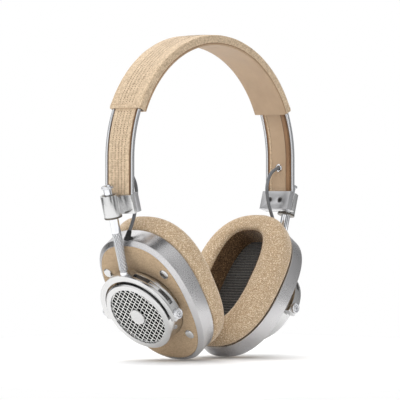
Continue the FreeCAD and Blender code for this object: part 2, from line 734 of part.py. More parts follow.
def face_plate(name, cup_frame):
    """Cloth-covered plate that closes the cup, pierced by the drum and the studs."""
    face = size(FACE)
    low = face - size("face_thickness")
    base = solid(name + "_face_blank", egg_plate(0.0, low, face))
    holes = [cylinder(name + "_drum_hole", "sizes.drum_radius + sizes.layer_gap",
                      "sizes.face_thickness + 2", (0, 0, low - 1))]
    for across, along in stud_places():
        holes.append(cylinder(name + "_stud_hole", "sizes.stud_radius", "sizes.face_thickness + 2",
                              (across, along, low - 1)))
    label = name + "_face_plate"
    keep(cut(label, base, holes), label, cup_frame)
    studs = []
    for across, along in stud_places():
        corners = [(ON_AXIS, "-sizes.face_thickness"),
                   ("sizes.stud_radius", "-sizes.face_thickness"),
                   ("sizes.stud_radius", ON_AXIS),
                   ("sizes.stud_head_radius", ON_AXIS),
                   ("sizes.stud_head_radius", "sizes.stud_head * 0.45"),
                   ("sizes.stud_head_radius * 0.75", "sizes.stud_head * 0.85"),
                   ("sizes.stud_head_radius * 0.35", "sizes.stud_head"),
                   (ON_AXIS, "sizes.stud_head")]
        studs.append(lathe("%s_stud" % name, corners, turned((across, along, face), (0, 0, 1), 0)))
    label = name + "_face_studs"
    keep(group(label, studs), label, cup_frame)


def drum(name, cup_frame):
    """Turned ring that stands out of the face, with the grille's seat and the pivot holes."""
    low = FACE + " - sizes.drum_back"
    seat = GRILLE_TOP + " - sizes.grille_thickness"
    outer = "sizes.drum_radius"
    grille = GRILLE_RADIUS
    corners = [(DRUM_BORE, low), (outer, low), (outer, "sizes.drum_top - sizes.drum_edge"),
               (outer + " - sizes.drum_edge", "sizes.drum_top"), (grille, "sizes.drum_top"),
               (grille, seat), (DRUM_BORE, seat)]
    ring = lathe(name + "_drum_ring", corners, turned((0, 0, 0), (0, 0, 1), 0))
    holes = cylinder(name + "_drum_pivots", "sizes.pivot_radius + sizes.running_clearance",
                     "4 * sizes.drum_radius", (-2 * size("drum_radius"), 0, 0), (1, 0, 0))
    label = name + "_drum"
    keep(cut(label, ring, [holes]), label, cup_frame)
    level = size(GRILLE_TOP)
    label = name + "_grille"
    plate = cylinder(label, GRILLE_RADIUS + " - sizes.layer_gap", "sizes.grille_thickness")
    keep(plate, label, cup_frame * turned((0, 0, level - size("grille_thickness")), (0, 0, 1), 0))
    label = name + "_centre_disc"
    cap = cylinder(label, "sizes.disc_radius", "sizes.disc_thickness")
    keep(cap, label, cup_frame * turned((0, 0, level), (0, 0, 1), 0))


def driver(name, cup_frame):
    """Baffle with the driver behind it: basket, magnet and domed diaphragm."""
    back, front = size(RIM_BACK), size(BAFFLE_FRONT)
    blank = solid(name + "_baffle_blank", egg_plate(0.0, back, front))
    hole = cylinder(name + "_baffle_hole", DRIVER_RADIUS + " + sizes.layer_gap",
                    "sizes.baffle_thickness + 2", (0, 0, back - 1))
    label = name + "_baffle"
    keep(cut(label, blank, [hole]), label, cup_frame)
    inside = DRIVER_RADIUS + " - sizes.driver_wall"
    floor = DRIVER_TOP + " - sizes.basket_floor"
    vent = "sizes.magnet_radius - sizes.basket_seat"
    corners = [(vent, floor), (inside, floor), (inside, RIM_BACK),
               (DRIVER_RADIUS, RIM_BACK), (DRIVER_RADIUS, DRIVER_TOP),
               (vent, DRIVER_TOP)]
    label = name + "_driver_basket"
    keep(lathe(label, corners, cup_frame), label)
    label = name + "_driver_magnet"
    magnet = cylinder(label, "sizes.magnet_radius", "sizes.magnet_length")
    keep(magnet, label, cup_frame * turned((0, 0, size(DRIVER_TOP)), (0, 0, 1), 0))
    edge = inside + " - sizes.layer_gap"
    base = RIM_BACK + " + sizes.diaphragm_inset"
    skin = "sizes.diaphragm_thickness"
    top = "%s + %s" % (base, skin)
    corners = [(ON_AXIS, base + " + sizes.dome_height"), ("sizes.dome_radius", base), (edge, base),
               (edge, top), ("sizes.dome_radius", top), (ON_AXIS, top + " + sizes.dome_height")]
    label = name + "_diaphragm"
    keep(lathe(label, corners, cup_frame), label)


def cushion(name, cup_frame):
    """Ear cushion: a soft ring with rounded crest, and the ribbed cloth behind its opening."""
    seat = size(RIM_BACK) - size("layer_gap")
    depth, bulge, opening = size("cushion_depth"), size("cushion_bulge"), size("cushion_opening")
    rise = [(2.4, 0.0), (bulge, 0.2), (bulge, 0.62), (bulge - 2.0, 0.85), (bulge - 7.0, 1.0)]
    outside = egg_solid([(grow, seat - share * depth) for grow, share in rise])
    hollow = [(-opening - 2.0, -0.05), (-opening - 2.0, 0.55), (-opening, 0.85), (-opening + 2.2, 1.02)]
    inside = egg_solid([(grow, seat - share * depth) for grow, share in hollow])
    label = name + "_cushion"
    keep(solid(label, outside.cut(inside)), label, cup_frame)
    cloth = egg_plate(-opening - 2.2, seat - size("cloth_thickness"), seat)
    label = name + "_baffle_cloth"
    keep(solid(label, cloth), label, cup_frame)


def relief_pose(hand):
    """Foot of the strain relief in the rim's upper wall, in the cup's frame, and its nose's aim."""
    along = size("cup_rise") + size("cup_half_height") + size("rim_wall")
    foot = FreeCAD.Vector(hand * size("relief_side"), along, size(FACE) - size("relief_setback"))
    lean = math.radians(size("cup_lean") + size("relief_lean"))
    return foot, FreeCAD.Vector(0, math.cos(lean), -math.sin(lean))


def strain_relief(name, hand, cup_frame):
    """Tapered rubber relief whose foot is fitted to the rim's outer wall."""
    foot, nose_axis = relief_pose(hand)
    boss = cylinder(name + "_relief_boss", "sizes.relief_radius", "sizes.relief_boss",
                    tuple(foot), (0, 1, 0))
    middle = foot + FreeCAD.Vector(0, size("relief_boss") / 2, 0)
    nose = doc.addObject("Part::Cone", name + "_relief_nose")
    bind(nose, Radius1="sizes.relief_radius - sizes.relief_shoulder", Radius2="sizes.relief_nose_radius",
         Height="sizes.relief_nose")
    aim = FreeCAD.Rotation(FreeCAD.Vector(0, 0, 1), nose_axis)
    nose.Placement = FreeCAD.Placement(middle, aim)
    outside = size("rim_wall") + size("fit_gap") + size("layer_gap")
    wall = solid(name + "_relief_wall", egg_plate(outside, size(RIM_BACK), 0))
    label = name + "_strain_relief"
    whole = join(name + "_relief_whole", [boss, nose])
    keep(cut(label, whole, [wall]), label, cup_frame)


def electronics(cup_frames):
    """Battery in the left cup, circuit board in the right one, both above the drum."""
    pocket = size("drum_radius") + size("pocket_gap")
    face = size(FACE) - size("face_thickness") - size("pocket_gap")
    for label, name, thickness in (("battery", "left", "battery_thickness"),
                                   ("circuit_board", "right", "board_thickness")):
        body = doc.addObject("Part::Box", label)
        bind(body, Length=BATTERY_LENGTH, Width="sizes.battery_width", Height="sizes." + thickness)
        corner = (-size(BATTERY_LENGTH) / 2, pocket, face - size(thickness))
        keep(body, label, cup_frames[name] * turned(corner, (0, 0, 1), 0))


# Leads

def rounded_path(points):
    """Straight runs joined by tangent arcs, each as large as its two runs allow."""
    edges, start, radii = [], points[0], []
    for before, corner, after in zip(points, points[1:], points[2:]):
        arrive, leave = before - corner, after - corner
        reach = 0.45 * min(arrive.Length, leave.Length)
        arrive.normalize()
        leave.normalize()
        half_turn = (math.pi - arrive.getAngle(leave)) / 2
        radius = reach / math.tan(half_turn)
        first, last = corner + arrive * reach, corner + leave * reach
        bisector = arrive + leave
        bisector.normalize()
        middle = corner + bisector * (radius / math.cos(half_turn) - radius)
        edges.append(Part.LineSegment(start, first).toShape())
        edges.append(Part.Arc(first, middle, last).toShape())
        start = last
        radii.append(round(radius, 1))
    edges.append(Part.LineSegment(start, points[-1]).toShape())
    return Part.Wire(edges), radii


def lead(name, sign, hand, cup_frame):
    """Lead from the eyelet in the strap, bowed inward past the block, to the cup's relief."""
    top = FreeCAD.Vector(sign * size(STRAP_IN), 0, size(ARC_CENTRE) - size("eyelet_drop"))
    foot, nose_axis = relief_pose(hand)
    nose_length = size("relief_nose") + 2 * size("layer_gap")
    tip = foot + FreeCAD.Vector(0, size("relief_boss") / 2, 0) + nose_axis * nose_length
    straight = tip + nose_axis * size("lead_straight")
    # places inward of the strap's inner face, towards the front, and below the eyelet
    bow = [(-0.9, 0.0, 0.0), (6.1, 0.1, 0.8), (12.1, 0.6, 9.5), (11.7, 1.0, 19.4)]
    points = [top + FreeCAD.Vector(-sign * inward, -front, -drop) for inward, front, drop in bow]
    points += [cup_frame.multVec(straight), cup_frame.multVec(tip)]
    path, radii = rounded_path(points)
    start = points[0]
    ring = Part.Wire(Part.Circle(start, points[1] - start, size("lead_radius")).toShape())
    tube = path.makePipeShell([ring], True, False)
    expected = math.pi * size("lead_radius") ** 2 * path.Length
    print("%s lead: length %.1f, radii %s, volume %.1f of %.1f"
          % (name, path.Length, radii, tube.Volume, expected))
    label = "%s_lead" % name
    keep(solid(label, tube), label)


SIDES = (("left", -1), ("right", 1))
frames = {name: side_frames(sign) for name, sign in SIDES}
cup_frames = {name: pair[1] for name, pair in frames.items()}

headband_layers()
strap()
rail("front_rail", -size("rail_spacing") / 2)
rail("rear_rail", size("rail_spacing") / 2)
for name, sign in SIDES:
    hand = -sign  # the front, -Y, lies at this sign of the cup frame's X
    rod_frame, cup_frame = frames[name]
    end_block(name, sign, rod_frame)
    clamp_plate(name, sign, rod_frame)
    eyelet(name, sign)
    lead(name, sign, hand, cup_frame)
    friction_bush(name, rod_frame)
    rod_and_cap(name, rod_frame)
    middle = 90 - hand * (90 - size("slot_middle"))
    if name == "left":
        yoke(name, cup_frame, [(middle, size("slot_sweep"))])
        step = hand * size("key_pitch")
        key("key_volume_up", middle + step, size("key_sweep"), cup_frame)
        key("key_play", middle, size("key_sweep"), cup_frame)
        key("key_volume_down", middle - step, size("key_sweep"), cup_frame)
    else:
        yoke(name, cup_frame, [(middle, size("power_key_sweep") + size("key_end_room"))])
        key("key_power", middle, size("power_key_sweep"), cup_frame)
    pivot_screws(name, cup_frame)
    rim(name, cup_frame, socket=(name == "right"))
    face_plate(name, cup_frame)
    drum(name, cup_frame)
    driver(name, cup_frame)
    cushion(name, cup_frame)
    strain_relief(name, hand, cup_frame)
charge_socket("right", cup_frames["right"])
electronics(cup_frames)
doc.recompute()

faults = []
for thing in doc.Objects:
    if "Invalid" in thing.State or "Error" in thing.State:
        faults.append("%s: %s" % (thing.Label, thing.State))
for part in finished:
    if part.Shape.isNull() or not part.Shape.isValid() or part.Shape.Volume <= 0:
        faults.append("%s: bad shape" % part.Label)
if faults:
    raise RuntimeError("; ".join(faults))

os.makedirs("parts", exist_ok=True)
for part in finished:
    part.Shape.exportStep(os.path.join("parts", part.Label + ".step"))
print("wrote %d parts" % len(finished))
for name, (rod_frame, cup_frame) in frames.items():
    print(name, "foot", rod_frame.Base, "pivot", cup_frame.Base)
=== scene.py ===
import math
import bmesh
import bpy
from mathutils import Matrix, Vector, noise


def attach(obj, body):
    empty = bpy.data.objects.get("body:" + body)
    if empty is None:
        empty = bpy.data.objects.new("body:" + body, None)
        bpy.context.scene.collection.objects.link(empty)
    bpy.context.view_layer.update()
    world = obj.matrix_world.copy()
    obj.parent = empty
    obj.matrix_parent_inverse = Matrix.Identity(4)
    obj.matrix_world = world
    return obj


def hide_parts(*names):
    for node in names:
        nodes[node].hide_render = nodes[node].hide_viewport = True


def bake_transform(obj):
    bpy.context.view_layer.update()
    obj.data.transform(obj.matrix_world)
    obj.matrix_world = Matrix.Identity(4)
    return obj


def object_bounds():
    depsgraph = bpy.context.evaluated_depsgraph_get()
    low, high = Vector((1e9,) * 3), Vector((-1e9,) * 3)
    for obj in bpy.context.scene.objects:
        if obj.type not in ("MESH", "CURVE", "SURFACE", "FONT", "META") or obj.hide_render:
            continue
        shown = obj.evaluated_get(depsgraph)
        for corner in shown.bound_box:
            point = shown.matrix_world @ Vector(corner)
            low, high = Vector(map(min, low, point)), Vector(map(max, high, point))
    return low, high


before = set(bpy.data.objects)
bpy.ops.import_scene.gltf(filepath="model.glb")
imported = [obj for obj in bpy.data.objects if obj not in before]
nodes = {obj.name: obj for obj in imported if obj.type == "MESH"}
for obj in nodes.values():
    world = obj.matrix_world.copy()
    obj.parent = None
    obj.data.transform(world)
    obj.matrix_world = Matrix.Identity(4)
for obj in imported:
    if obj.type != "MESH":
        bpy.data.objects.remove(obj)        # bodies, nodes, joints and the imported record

cadLow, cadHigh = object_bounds()
scene = bpy.context.scene

# Camera

cameraSpec = {"azimuth": -48.0, "elevation": 0.4, "distance": 2.0, "lens": 306.0,
              "target": (-0.00185, 0.0, -0.0905)}


def makeCamera(spec):
    azimuth, elevation = math.radians(spec["azimuth"]), math.radians(spec["elevation"])
    back = Vector((math.sin(azimuth) * math.cos(elevation),
                   -math.cos(azimuth) * math.cos(elevation), math.sin(elevation)))
    data = bpy.data.cameras.new("camera")
    data.lens, data.sensor_width = spec["lens"], 36.0
    data.clip_start, data.clip_end = 0.05, 200.0
    camera = bpy.data.objects.new("camera", data)
    camera.location = Vector(spec["target"]) + back * spec["distance"]
    camera.rotation_euler = back.to_track_quat("Z", "Y").to_euler()
    scene.collection.objects.link(camera)
    scene.camera = camera


makeCamera(cameraSpec)
print("camera placed")

# Frames: pieces are drawn in millimetres, in the row frame or in a side's own frame

layout = {"rodLean": 16.3, "cupLean": 34.35, "arcCentre": -66.5,
          "foot": (65.957, 0.0, -133.917), "pivot": (51.569, 0.0, -154.970)}
sides = (("left", -1), ("right", 1))
rowFrame = Matrix.Scale(0.001, 4)


def sideFrame(sign, leanDegrees, base, forCup):
    # rod: X outward, Z up the rod; cup: Y up the face, Z out of it
    lean = math.radians(leanDegrees)
    up = Vector((sign * math.sin(lean), 0, math.cos(lean)))
    out = Vector((sign * math.cos(lean), 0, -math.sin(lean)))
    across = Vector((0, sign, 0))
    axes = (across, up, out) if forCup else (out, across, up)
    turned = Matrix(axes).transposed().to_4x4()
    turned.translation = (sign * base[0], base[1], base[2])
    return rowFrame @ turned


rodFrames = {name: sideFrame(sign, layout["rodLean"], layout["foot"], False) for name, sign in sides}
cupFrames = {name: sideFrame(sign, layout["cupLean"], layout["pivot"], True) for name, sign in sides}

# Mesh tools


def gridMesh(rows, place, around=True, along=False, uvOf=None):
    # rows of points joined in both directions; uvOf gives a corner's place on the cloth in mm
    count = len(rows[0])
    points = [place @ Vector(point) for row in rows for point in row]
    faces, cells = [], []
    for j in range(len(rows) if along else len(rows) - 1):
        for i in range(count if around else count - 1):
            cell = ((j, i), (j, i + 1), (j + 1, i + 1), (j + 1, i))
            faces.append([(a % len(rows)) * count + b % count for a, b in cell])
            cells.append(cell)
    mesh = bpy.data.meshes.new("piece")
    mesh.from_pydata(points, [], faces)
    if uvOf:
        layer = mesh.uv_layers.new(name="weave")
        for polygon, cell in zip(mesh.polygons, cells):
            for corner, (a, b) in zip(polygon.loop_indices, cell):
                layer.data[corner].uv = uvOf(a, b)
    return mesh


def capEnds(mesh, rowSize, rowCount):
    # closes the first and last rows of an open grid with one face each
    work = bmesh.new()
    work.from_mesh(mesh)
    work.verts.ensure_lookup_table()
    first = work.verts[:rowSize]
    last = work.verts[rowSize * (rowCount - 1):rowSize * rowCount]
    work.faces.new(first[::-1])
    work.faces.new(last)
    work.to_mesh(mesh)
    work.free()
    return mesh


def latheMesh(profile, place, segments=128, closed=True, shapeRadius=None):
    rows = []
    for radius, height in profile:
        row = []
        for step in range(segments):
            angle = 2 * math.pi * step / segments
            reach = shapeRadius(angle, radius, height) if shapeRadius else radius
            row.append((reach * math.cos(angle), reach * math.sin(angle), height))
        rows.append(row)
    return gridMesh(rows, place, along=closed)


def circle(radius, count, middle=(0.0, 0.0)):
    return [(middle[0] + radius * math.cos(2 * math.pi * turn / count),
             middle[1] + radius * math.sin(2 * math.pi * turn / count)) for turn in range(count)]


def rounded(corners, steps=4, loop=True):
    # polygon of (x, y, corner radius) with its corners turned
    points, count = [], len(corners)
    for index, (x, y, radius) in enumerate(corners):
        here = Vector((x, y))
        if radius <= 0 or (not loop and index in (0, count - 1)):
            points.append((x, y))
            continue
        before = Vector(corners[index - 1][:2]) - here
        after = Vector(corners[(index + 1) % count][:2]) - here
        reach = radius / math.tan(before.angle(after) / 2)
        reach = min(reach, 0.49 * before.length, 0.49 * after.length)
        start, end = here + before.normalized() * reach, here + after.normalized() * reach
        for step in range(steps + 1):
            share = step / steps
            bend = start * (1 - share) ** 2 + here * 2 * share * (1 - share) + end * share ** 2
            points.append(tuple(bend))
    return points


def addPiece(name, mesh, finish, body, stands=(), merge=True, sharp=35.0):
    # merges doubles, turns the faces outward and hands the piece to its body
    work = bmesh.new()
    work.from_mesh(mesh)
    if merge:
        bmesh.ops.remove_doubles(work, verts=work.verts, dist=1.5e-6)
        bmesh.ops.dissolve_degenerate(work, dist=1e-7, edges=work.edges)
    bmesh.ops.recalc_face_normals(work, faces=work.faces)
    work.to_mesh(mesh)
    work.free()
    mesh.name = name
    mesh.materials.clear()
    mesh.materials.append(finishes[finish])
    mesh.shade_smooth()
    mesh.set_sharp_from_angle(angle=math.radians(sharp))
    piece = bpy.data.objects.new(name, mesh)
    scene.collection.objects.link(piece)
    if body:
        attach(piece, body)
    if stands:
        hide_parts(*stands)
    return piece


def bakedMesh(piece):
    # the piece's evaluated mesh as a plain one; the piece itself is removed
    bpy.context.view_layer.update()
    depsgraph = bpy.context.evaluated_depsgraph_get()
    mesh = bpy.data.meshes.new_from_object(piece.evaluated_get(depsgraph))
    bpy.data.objects.remove(piece)
    return mesh


def machinedCopy(node, finish, body, bevel=0.3, segments=3):
    # the CAD part with its sharp edges broken by a small bevel
    mesh = nodes[node].data.copy()
    work = bmesh.new()
    work.from_mesh(mesh)
    bmesh.ops.remove_doubles(work, verts=work.verts, dist=1e-6)
    bmesh.ops.dissolve_limit(work, angle_limit=math.radians(1.0), verts=work.verts, edges=work.edges)
    work.to_mesh(mesh)
    work.free()
    raw = bpy.data.objects.new("raw", mesh)
    scene.collection.objects.link(raw)
    edges = raw.modifiers.new("edges", "BEVEL")
    edges.width, edges.segments = bevel * 0.001, segments
    edges.limit_method, edges.angle_limit = "ANGLE", math.radians(32)
    edges.use_clamp_overlap, edges.harden_normals = True, False
    label = node + "_piece"
    return addPiece(label, bakedMesh(raw), finish, body, (node,), merge=False, sharp=40)


# Node tools, for materials and for geometry


def addNode(tree, kind, inputs=None, **settings):
    node = tree.nodes.new(kind)
    for key, value in settings.items():
        setattr(node, key, value)
    for key, value in (inputs or {}).items():
        if isinstance(value, bpy.types.NodeSocket):
            tree.links.new(value, node.inputs[key])
        else:
            node.inputs[key].default_value = value
    return node


def calc(tree, operation, first, second=0.0, third=0.0):
    inputs = {0: first, 1: second, 2: third}
    return addNode(tree, "ShaderNodeMath", inputs, operation=operation).outputs[0]


def mixTone(tree, share, low, high):
    node = addNode(tree, "ShaderNodeMix", {0: share, 6: low, 7: high}, data_type="RGBA")
    return node.outputs[2]


def spread(tree, value, low, high, newLow=0.0, newHigh=1.0):
    inputs = {0: value, 1: low, 2: high, 3: newLow, 4: newHigh}
    return addNode(tree, "ShaderNodeMapRange", inputs).outputs[0]


def combined(tree, parts):
    return addNode(tree, "ShaderNodeCombineXYZ", parts).outputs[0]


def separated(tree, vector):
    return addNode(tree, "ShaderNodeSeparateXYZ", {0: vector}).outputs


def noiseOf(tree, vector, scale, detail=3.0, roughness=0.55):
    inputs = {"Vector": vector, "Scale": scale, "Detail": detail, "Roughness": roughness}
    return addNode(tree, "ShaderNodeTexNoise", inputs).outputs[0]


def stretched(tree, vector, scale, turn=(0, 0, 0)):
    return addNode(tree, "ShaderNodeMapping", {"Vector": vector, "Scale": scale, "Rotation": turn}).outputs[0]


def bumpOf(tree, height, distance, strength=1.0):
    inputs = {"Height": height, "Distance": distance, "Strength": strength}
    return addNode(tree, "ShaderNodeBump", inputs).outputs[0]


def tone(red, green, blue):
    return tuple(((part / 255 + 0.055) / 1.055) ** 2.4 for part in (red, green, blue)) + (1.0,)


def objectSpace(tree):
    return addNode(tree, "ShaderNodeTexCoord").outputs["Object"]


def startFinish(name, constants):
    material = bpy.data.materials.new(name)
    material.use_nodes = True
    shader = material.node_tree.nodes["Principled BSDF"]
    for key, value in constants.items():
        shader.inputs[key].default_value = value
    return material, material.node_tree, shader


def finishWith(tree, shader, colour=None, rough=None, normal=None):
    for key, value in (("Base Color", colour), ("Roughness", rough), ("Normal", normal)):
        if value is not None:
            tree.links.new(value, shader.inputs[key])


# Finishes


def wovenCloth(name, light, dark, thread, ribbed, slub, fleckShare, depth=0.00012):
    # plain weave on the piece's own cloth coordinates, with slubs along the weft
    material, tree, shader = startFinish(name, {"Sheen Weight": 0.25, "Sheen Roughness": 0.5,
                                                "Specular IOR Level": 0.2})
    cloth = addNode(tree, "ShaderNodeUVMap", uv_map="weave").outputs[0]
    wander = noiseOf(tree, stretched(tree, cloth, (0.25, 0.25, 1)), 1.0, 2.0)
    parts = separated(tree, cloth)
    across = calc(tree, "SINE", calc(tree, "MULTIPLY", parts[0], math.pi / thread))
    shifted = calc(tree, "MULTIPLY_ADD", wander, 0.5, parts[1])
    along = calc(tree, "SINE", calc(tree, "MULTIPLY", shifted, math.pi / thread))
    over = spread(tree, calc(tree, "MULTIPLY", across, along), -0.15, 0.15)
    warp, weft = calc(tree, "ABSOLUTE", across), calc(tree, "ABSOLUTE", along)
    plain = calc(tree, "MULTIPLY_ADD", over, calc(tree, "SUBTRACT", weft, warp), warp)
    threads = calc(tree, "MULTIPLY_ADD", calc(tree, "SUBTRACT", weft, plain), ribbed, plain)
    slubs = noiseOf(tree, stretched(tree, cloth, (0.16, 1.3, 1)), 1.0, 4.0, 0.7)
    fleck = noiseOf(tree, cloth, 2.1, 2.0)
    yarn = spread(tree, slubs, 0.32, 0.68)
    cells = addNode(tree, "ShaderNodeVectorMath", {0: cloth, 1: (1 / thread, 1 / thread, 0)},
                    operation="MULTIPLY").outputs[0]
    cells = addNode(tree, "ShaderNodeVectorMath", {0: cells}, operation="FLOOR").outputs[0]
    uneven = addNode(tree, "ShaderNodeTexWhiteNoise", {"Vector": cells},
                     noise_dimensions="2D").outputs["Value"]
    # colour follows the thread height, lighter on the tops and darker between threads: painted shade of the
    # weave, besides slubs and flecks
    share = calc(tree, "MULTIPLY_ADD", yarn, slub, calc(tree, "MULTIPLY", threads, 0.75 - slub))
    share = calc(tree, "MULTIPLY_ADD", spread(tree, fleck, 0.35, 0.7), 0.15, share)
    share = calc(tree, "MULTIPLY_ADD", uneven, fleckShare, share)
    colour = mixTone(tree, share, dark, light)
    high = calc(tree, "MULTIPLY_ADD", yarn, 0.5, threads)
    finishWith(tree, shader, colour, spread(tree, fleck, 0.2, 0.8, 0.78, 0.95),
               bumpOf(tree, high, depth, 0.9))
    return material


def suedeLike(name, light, dark, speckleAndGlint):
    material, tree, shader = startFinish(name, {"Sheen Weight": 0.6, "Sheen Roughness": 0.35,
                                                "Sheen Tint": (1.0, 0.9, 0.78, 1.0),
                                                "Specular IOR Level": 0.15})
    place = objectSpace(tree)
    nap = noiseOf(tree, place, 260.0, 3.0)
    fibre = noiseOf(tree, place, 850.0, 4.0, 0.8)
    hair = noiseOf(tree, stretched(tree, place, (1, 1, 1.5)), 1350.0, 3.0, 0.8)
    shade = calc(tree, "MULTIPLY_ADD", spread(tree, fibre, 0.3, 0.7), 0.6, calc(tree, "MULTIPLY", nap, 0.5))
    base = mixTone(tree, shade, dark, light)
    # light speckles of fibre, partly painted highlight: the glints the nap shows in grazing light
    colour = mixTone(tree, spread(tree, hair, 0.50, 0.64, 0.0, 0.95), base, speckleAndGlint)
    high = calc(tree, "MULTIPLY_ADD", hair, 0.5, fibre)
    finishWith(tree, shader, colour, spread(tree, nap, 0.3, 0.7, 0.82, 0.96),
               bumpOf(tree, high, 0.00022, 0.9))
    return material


def grainedLeather(name, light, dark, grain=1100.0, rough=0.55):
    material, tree, shader = startFinish(name, {"Specular IOR Level": 0.35, "Sheen Weight": 0.1})
    place = objectSpace(tree)
    cells = addNode(tree, "ShaderNodeTexVoronoi", {"Vector": place, "Scale": grain,
                                                   "Randomness": 0.9}).outputs[0]
    cloud = noiseOf(tree, place, 90.0, 4.0)
    pores = noiseOf(tree, place, 2400.0, 2.0)
    share = calc(tree, "MULTIPLY_ADD", spread(tree, cloud, 0.3, 0.7), 0.6, calc(tree, "MULTIPLY", pores, 0.4))
    colour = mixTone(tree, share, dark, light)
    high = calc(tree, "MULTIPLY_ADD", pores, 0.3, cells)
    finishWith(tree, shader, colour, spread(tree, cloud, 0.3, 0.7, rough - 0.08, rough + 0.1),
               bumpOf(tree, high, 0.00008, 0.7))
    return material


def workedMetal(name, colour, rough, blasted, brushed=(1, 1, 1), metallic=1.0, grain=0.000012, wear=0.12,
                hollowShade=0.55):
    # blasted is the grain's size in the satin; brushed stretches it into lines; the last value darkens the
    # hollows with painted shade
    material, tree, shader = startFinish(name, {"Metallic": metallic})
    place = objectSpace(tree)
    fine = noiseOf(tree, stretched(tree, place, brushed), blasted, 4.0, 0.65)
    smudge = noiseOf(tree, place, 55.0, 3.0)
    nick = noiseOf(tree, place, 900.0, 2.0, 0.8)
    worn = spread(tree, nick, 0.62, 0.78)
    dull = tuple(part * 0.72 for part in colour[:3]) + (1.0,)
    share = calc(tree, "MULTIPLY_ADD", worn, wear, calc(tree, "MULTIPLY",
                                                        spread(tree, smudge, 0.35, 0.75), wear))
    tint = mixTone(tree, share, colour, dull)
    # painted shade: the colour goes near black where pointiness finds a hollow, such as knurl valleys and
    # inner corners
    hollow = spread(tree, addNode(tree, "ShaderNodeNewGeometry").outputs["Pointiness"], 0.40, 0.49,
                    hollowShade, 0.0)
    tint = mixTone(tree, hollow, tint, tuple(part * 0.08 for part in colour[:3]) + (1.0,))
    polish = calc(tree, "MULTIPLY_ADD", spread(tree, fine, 0.25, 0.75), 0.5 * rough, 0.75 * rough)
    polish = calc(tree, "MULTIPLY_ADD", spread(tree, smudge, 0.4, 0.7), 0.2 * rough + 0.02, polish)
    finishWith(tree, shader, tint, polish, bumpOf(tree, fine, grain, 0.5))
    return material


def mouldedPlastic(name, light, dark, rough, grain=1400.0, depth=0.00003):
    material, tree, shader = startFinish(name, {"Specular IOR Level": 0.4})
    place = objectSpace(tree)
    cloud, texture = noiseOf(tree, place, 120.0), noiseOf(tree, place, grain, 3.0)
    colour = mixTone(tree, spread(tree, cloud, 0.3, 0.7), dark, light)
    finishWith(tree, shader, colour, spread(tree, texture, 0.3, 0.7, rough - 0.08, rough + 0.08),
               bumpOf(tree, texture, depth, 0.8))
    return material


def boardFinish(name):
    # green board with tinned pads in rows
    material, tree, shader = startFinish(name, {})
    place = objectSpace(tree)
    pads = addNode(tree, "ShaderNodeTexBrick", {"Vector": place, "Scale": 260.0, "Mortar Size": 0.12,
                                                "Color1": tone(30, 84, 48), "Color2": tone(24, 70, 40),
                                                "Mortar": tone(180, 170, 130)})
    fine = noiseOf(tree, place, 1500.0)
    finishWith(tree, shader, pads.outputs[0], spread(tree, fine, 0.2, 0.8, 0.3, 0.5),
               bumpOf(tree, pads.outputs[1], 0.00005))
    return material


# name: its maker and what the maker takes after the name
finishTable = {
    "coverCanvas": (wovenCloth, tone(232, 208, 176), tone(112, 84, 56), 0.8, 0.25, 0.22, 0.36),
    "faceCanvas": (wovenCloth, tone(208, 182, 148), tone(118, 92, 66), 0.66, 0.8, 0.2, 0.25),
    "cushionSuede": (suedeLike, tone(194, 168, 136), tone(140, 114, 86), tone(246, 230, 204)),
    # the opening's inner wall: a darker copy of the cushion suede, partly painted shade of the opening
    "wallSuede": (suedeLike, tone(92, 68, 45), tone(24, 16, 11), tone(158, 126, 92)),
    "liningLeather": (grainedLeather, tone(192, 166, 138), tone(172, 146, 118)),
    "brownEdge": (grainedLeather, tone(104, 74, 50), tone(66, 44, 30), 1800.0, 0.45),
    "boundEdge": (grainedLeather, tone(160, 124, 90), tone(128, 94, 64), 1500.0, 0.5),
    "stitchThread": (grainedLeather, tone(100, 74, 50), tone(66, 46, 30), 2600.0, 0.8),
    "hemThread": (grainedLeather, tone(216, 190, 156), tone(176, 148, 116), 2600.0, 0.8),
    "satinAluminium": (workedMetal, tone(196, 195, 196), 0.27, 2600.0, (1, 1, 1)),
    "plateAluminium": (workedMetal, tone(188, 188, 190), 0.36, 3000.0, (1, 4, 1)),
    "brightAluminium": (workedMetal, tone(206, 206, 206), 0.2, 3400.0),
    "darkAluminium": (workedMetal, tone(92, 90, 90), 0.26, 3000.0),
    "chromeSteel": (workedMetal, tone(206, 207, 210), 0.08, 1800.0, (1, 1, 1), 1.0, 0.000004),
    # knurled steel: its last value gives the strongest painted shade in the knurl's hollows
    "knurledSteel": (workedMetal, tone(222, 223, 226), 0.12, 1800.0, (1, 1, 1), 1.0, 0.000004, 0.05, 0.9),
    "springSteel": (workedMetal, tone(200, 201, 204), 0.14, 2200.0, (1, 6, 1), 1.0, 0.000005),
    "grilleWire": (workedMetal, tone(250, 250, 248), 0.35, 2600.0, (1, 1, 1), 0.55, 0.000012, 0.05, 0.0),
    # near-black plate behind the grille: its black is partly painted shade inside the cup
    "grilleBack": (mouldedPlastic, tone(6, 6, 6), tone(2, 2, 2), 0.9),
    "bronzeBush": (workedMetal, tone(112, 106, 98), 0.3, 2400.0),
    "magnetSteel": (workedMetal, tone(140, 140, 142), 0.4, 2000.0),
    "foilWrap": (workedMetal, tone(205, 205, 210), 0.25, 700.0, (1, 1, 1), 1.0, 0.0001),
    "blackPlastic": (mouldedPlastic, tone(38, 37, 36), tone(22, 21, 21), 0.5),
    "softRubber": (mouldedPlastic, tone(48, 47, 47), tone(30, 29, 29), 0.55, 2200.0, 0.00004),
    "leadJacket": (mouldedPlastic, tone(122, 124, 127), tone(98, 100, 104), 0.42, 1800.0, 0.00002),
    "padFoam": (mouldedPlastic, tone(92, 90, 86), tone(60, 58, 55), 0.9, 900.0, 0.0002),
    "circuitBoard": (boardFinish,),
    "baffleCloth": (suedeLike, tone(78, 77, 76), tone(36, 36, 36), tone(96, 95, 94)),
}
finishes = {name: make(name, *values) for name, (make, *values) in finishTable.items()}
print("finishes made:", len(finishes))

# Headband: cloth cover, lining, brown piping and dotted stitching

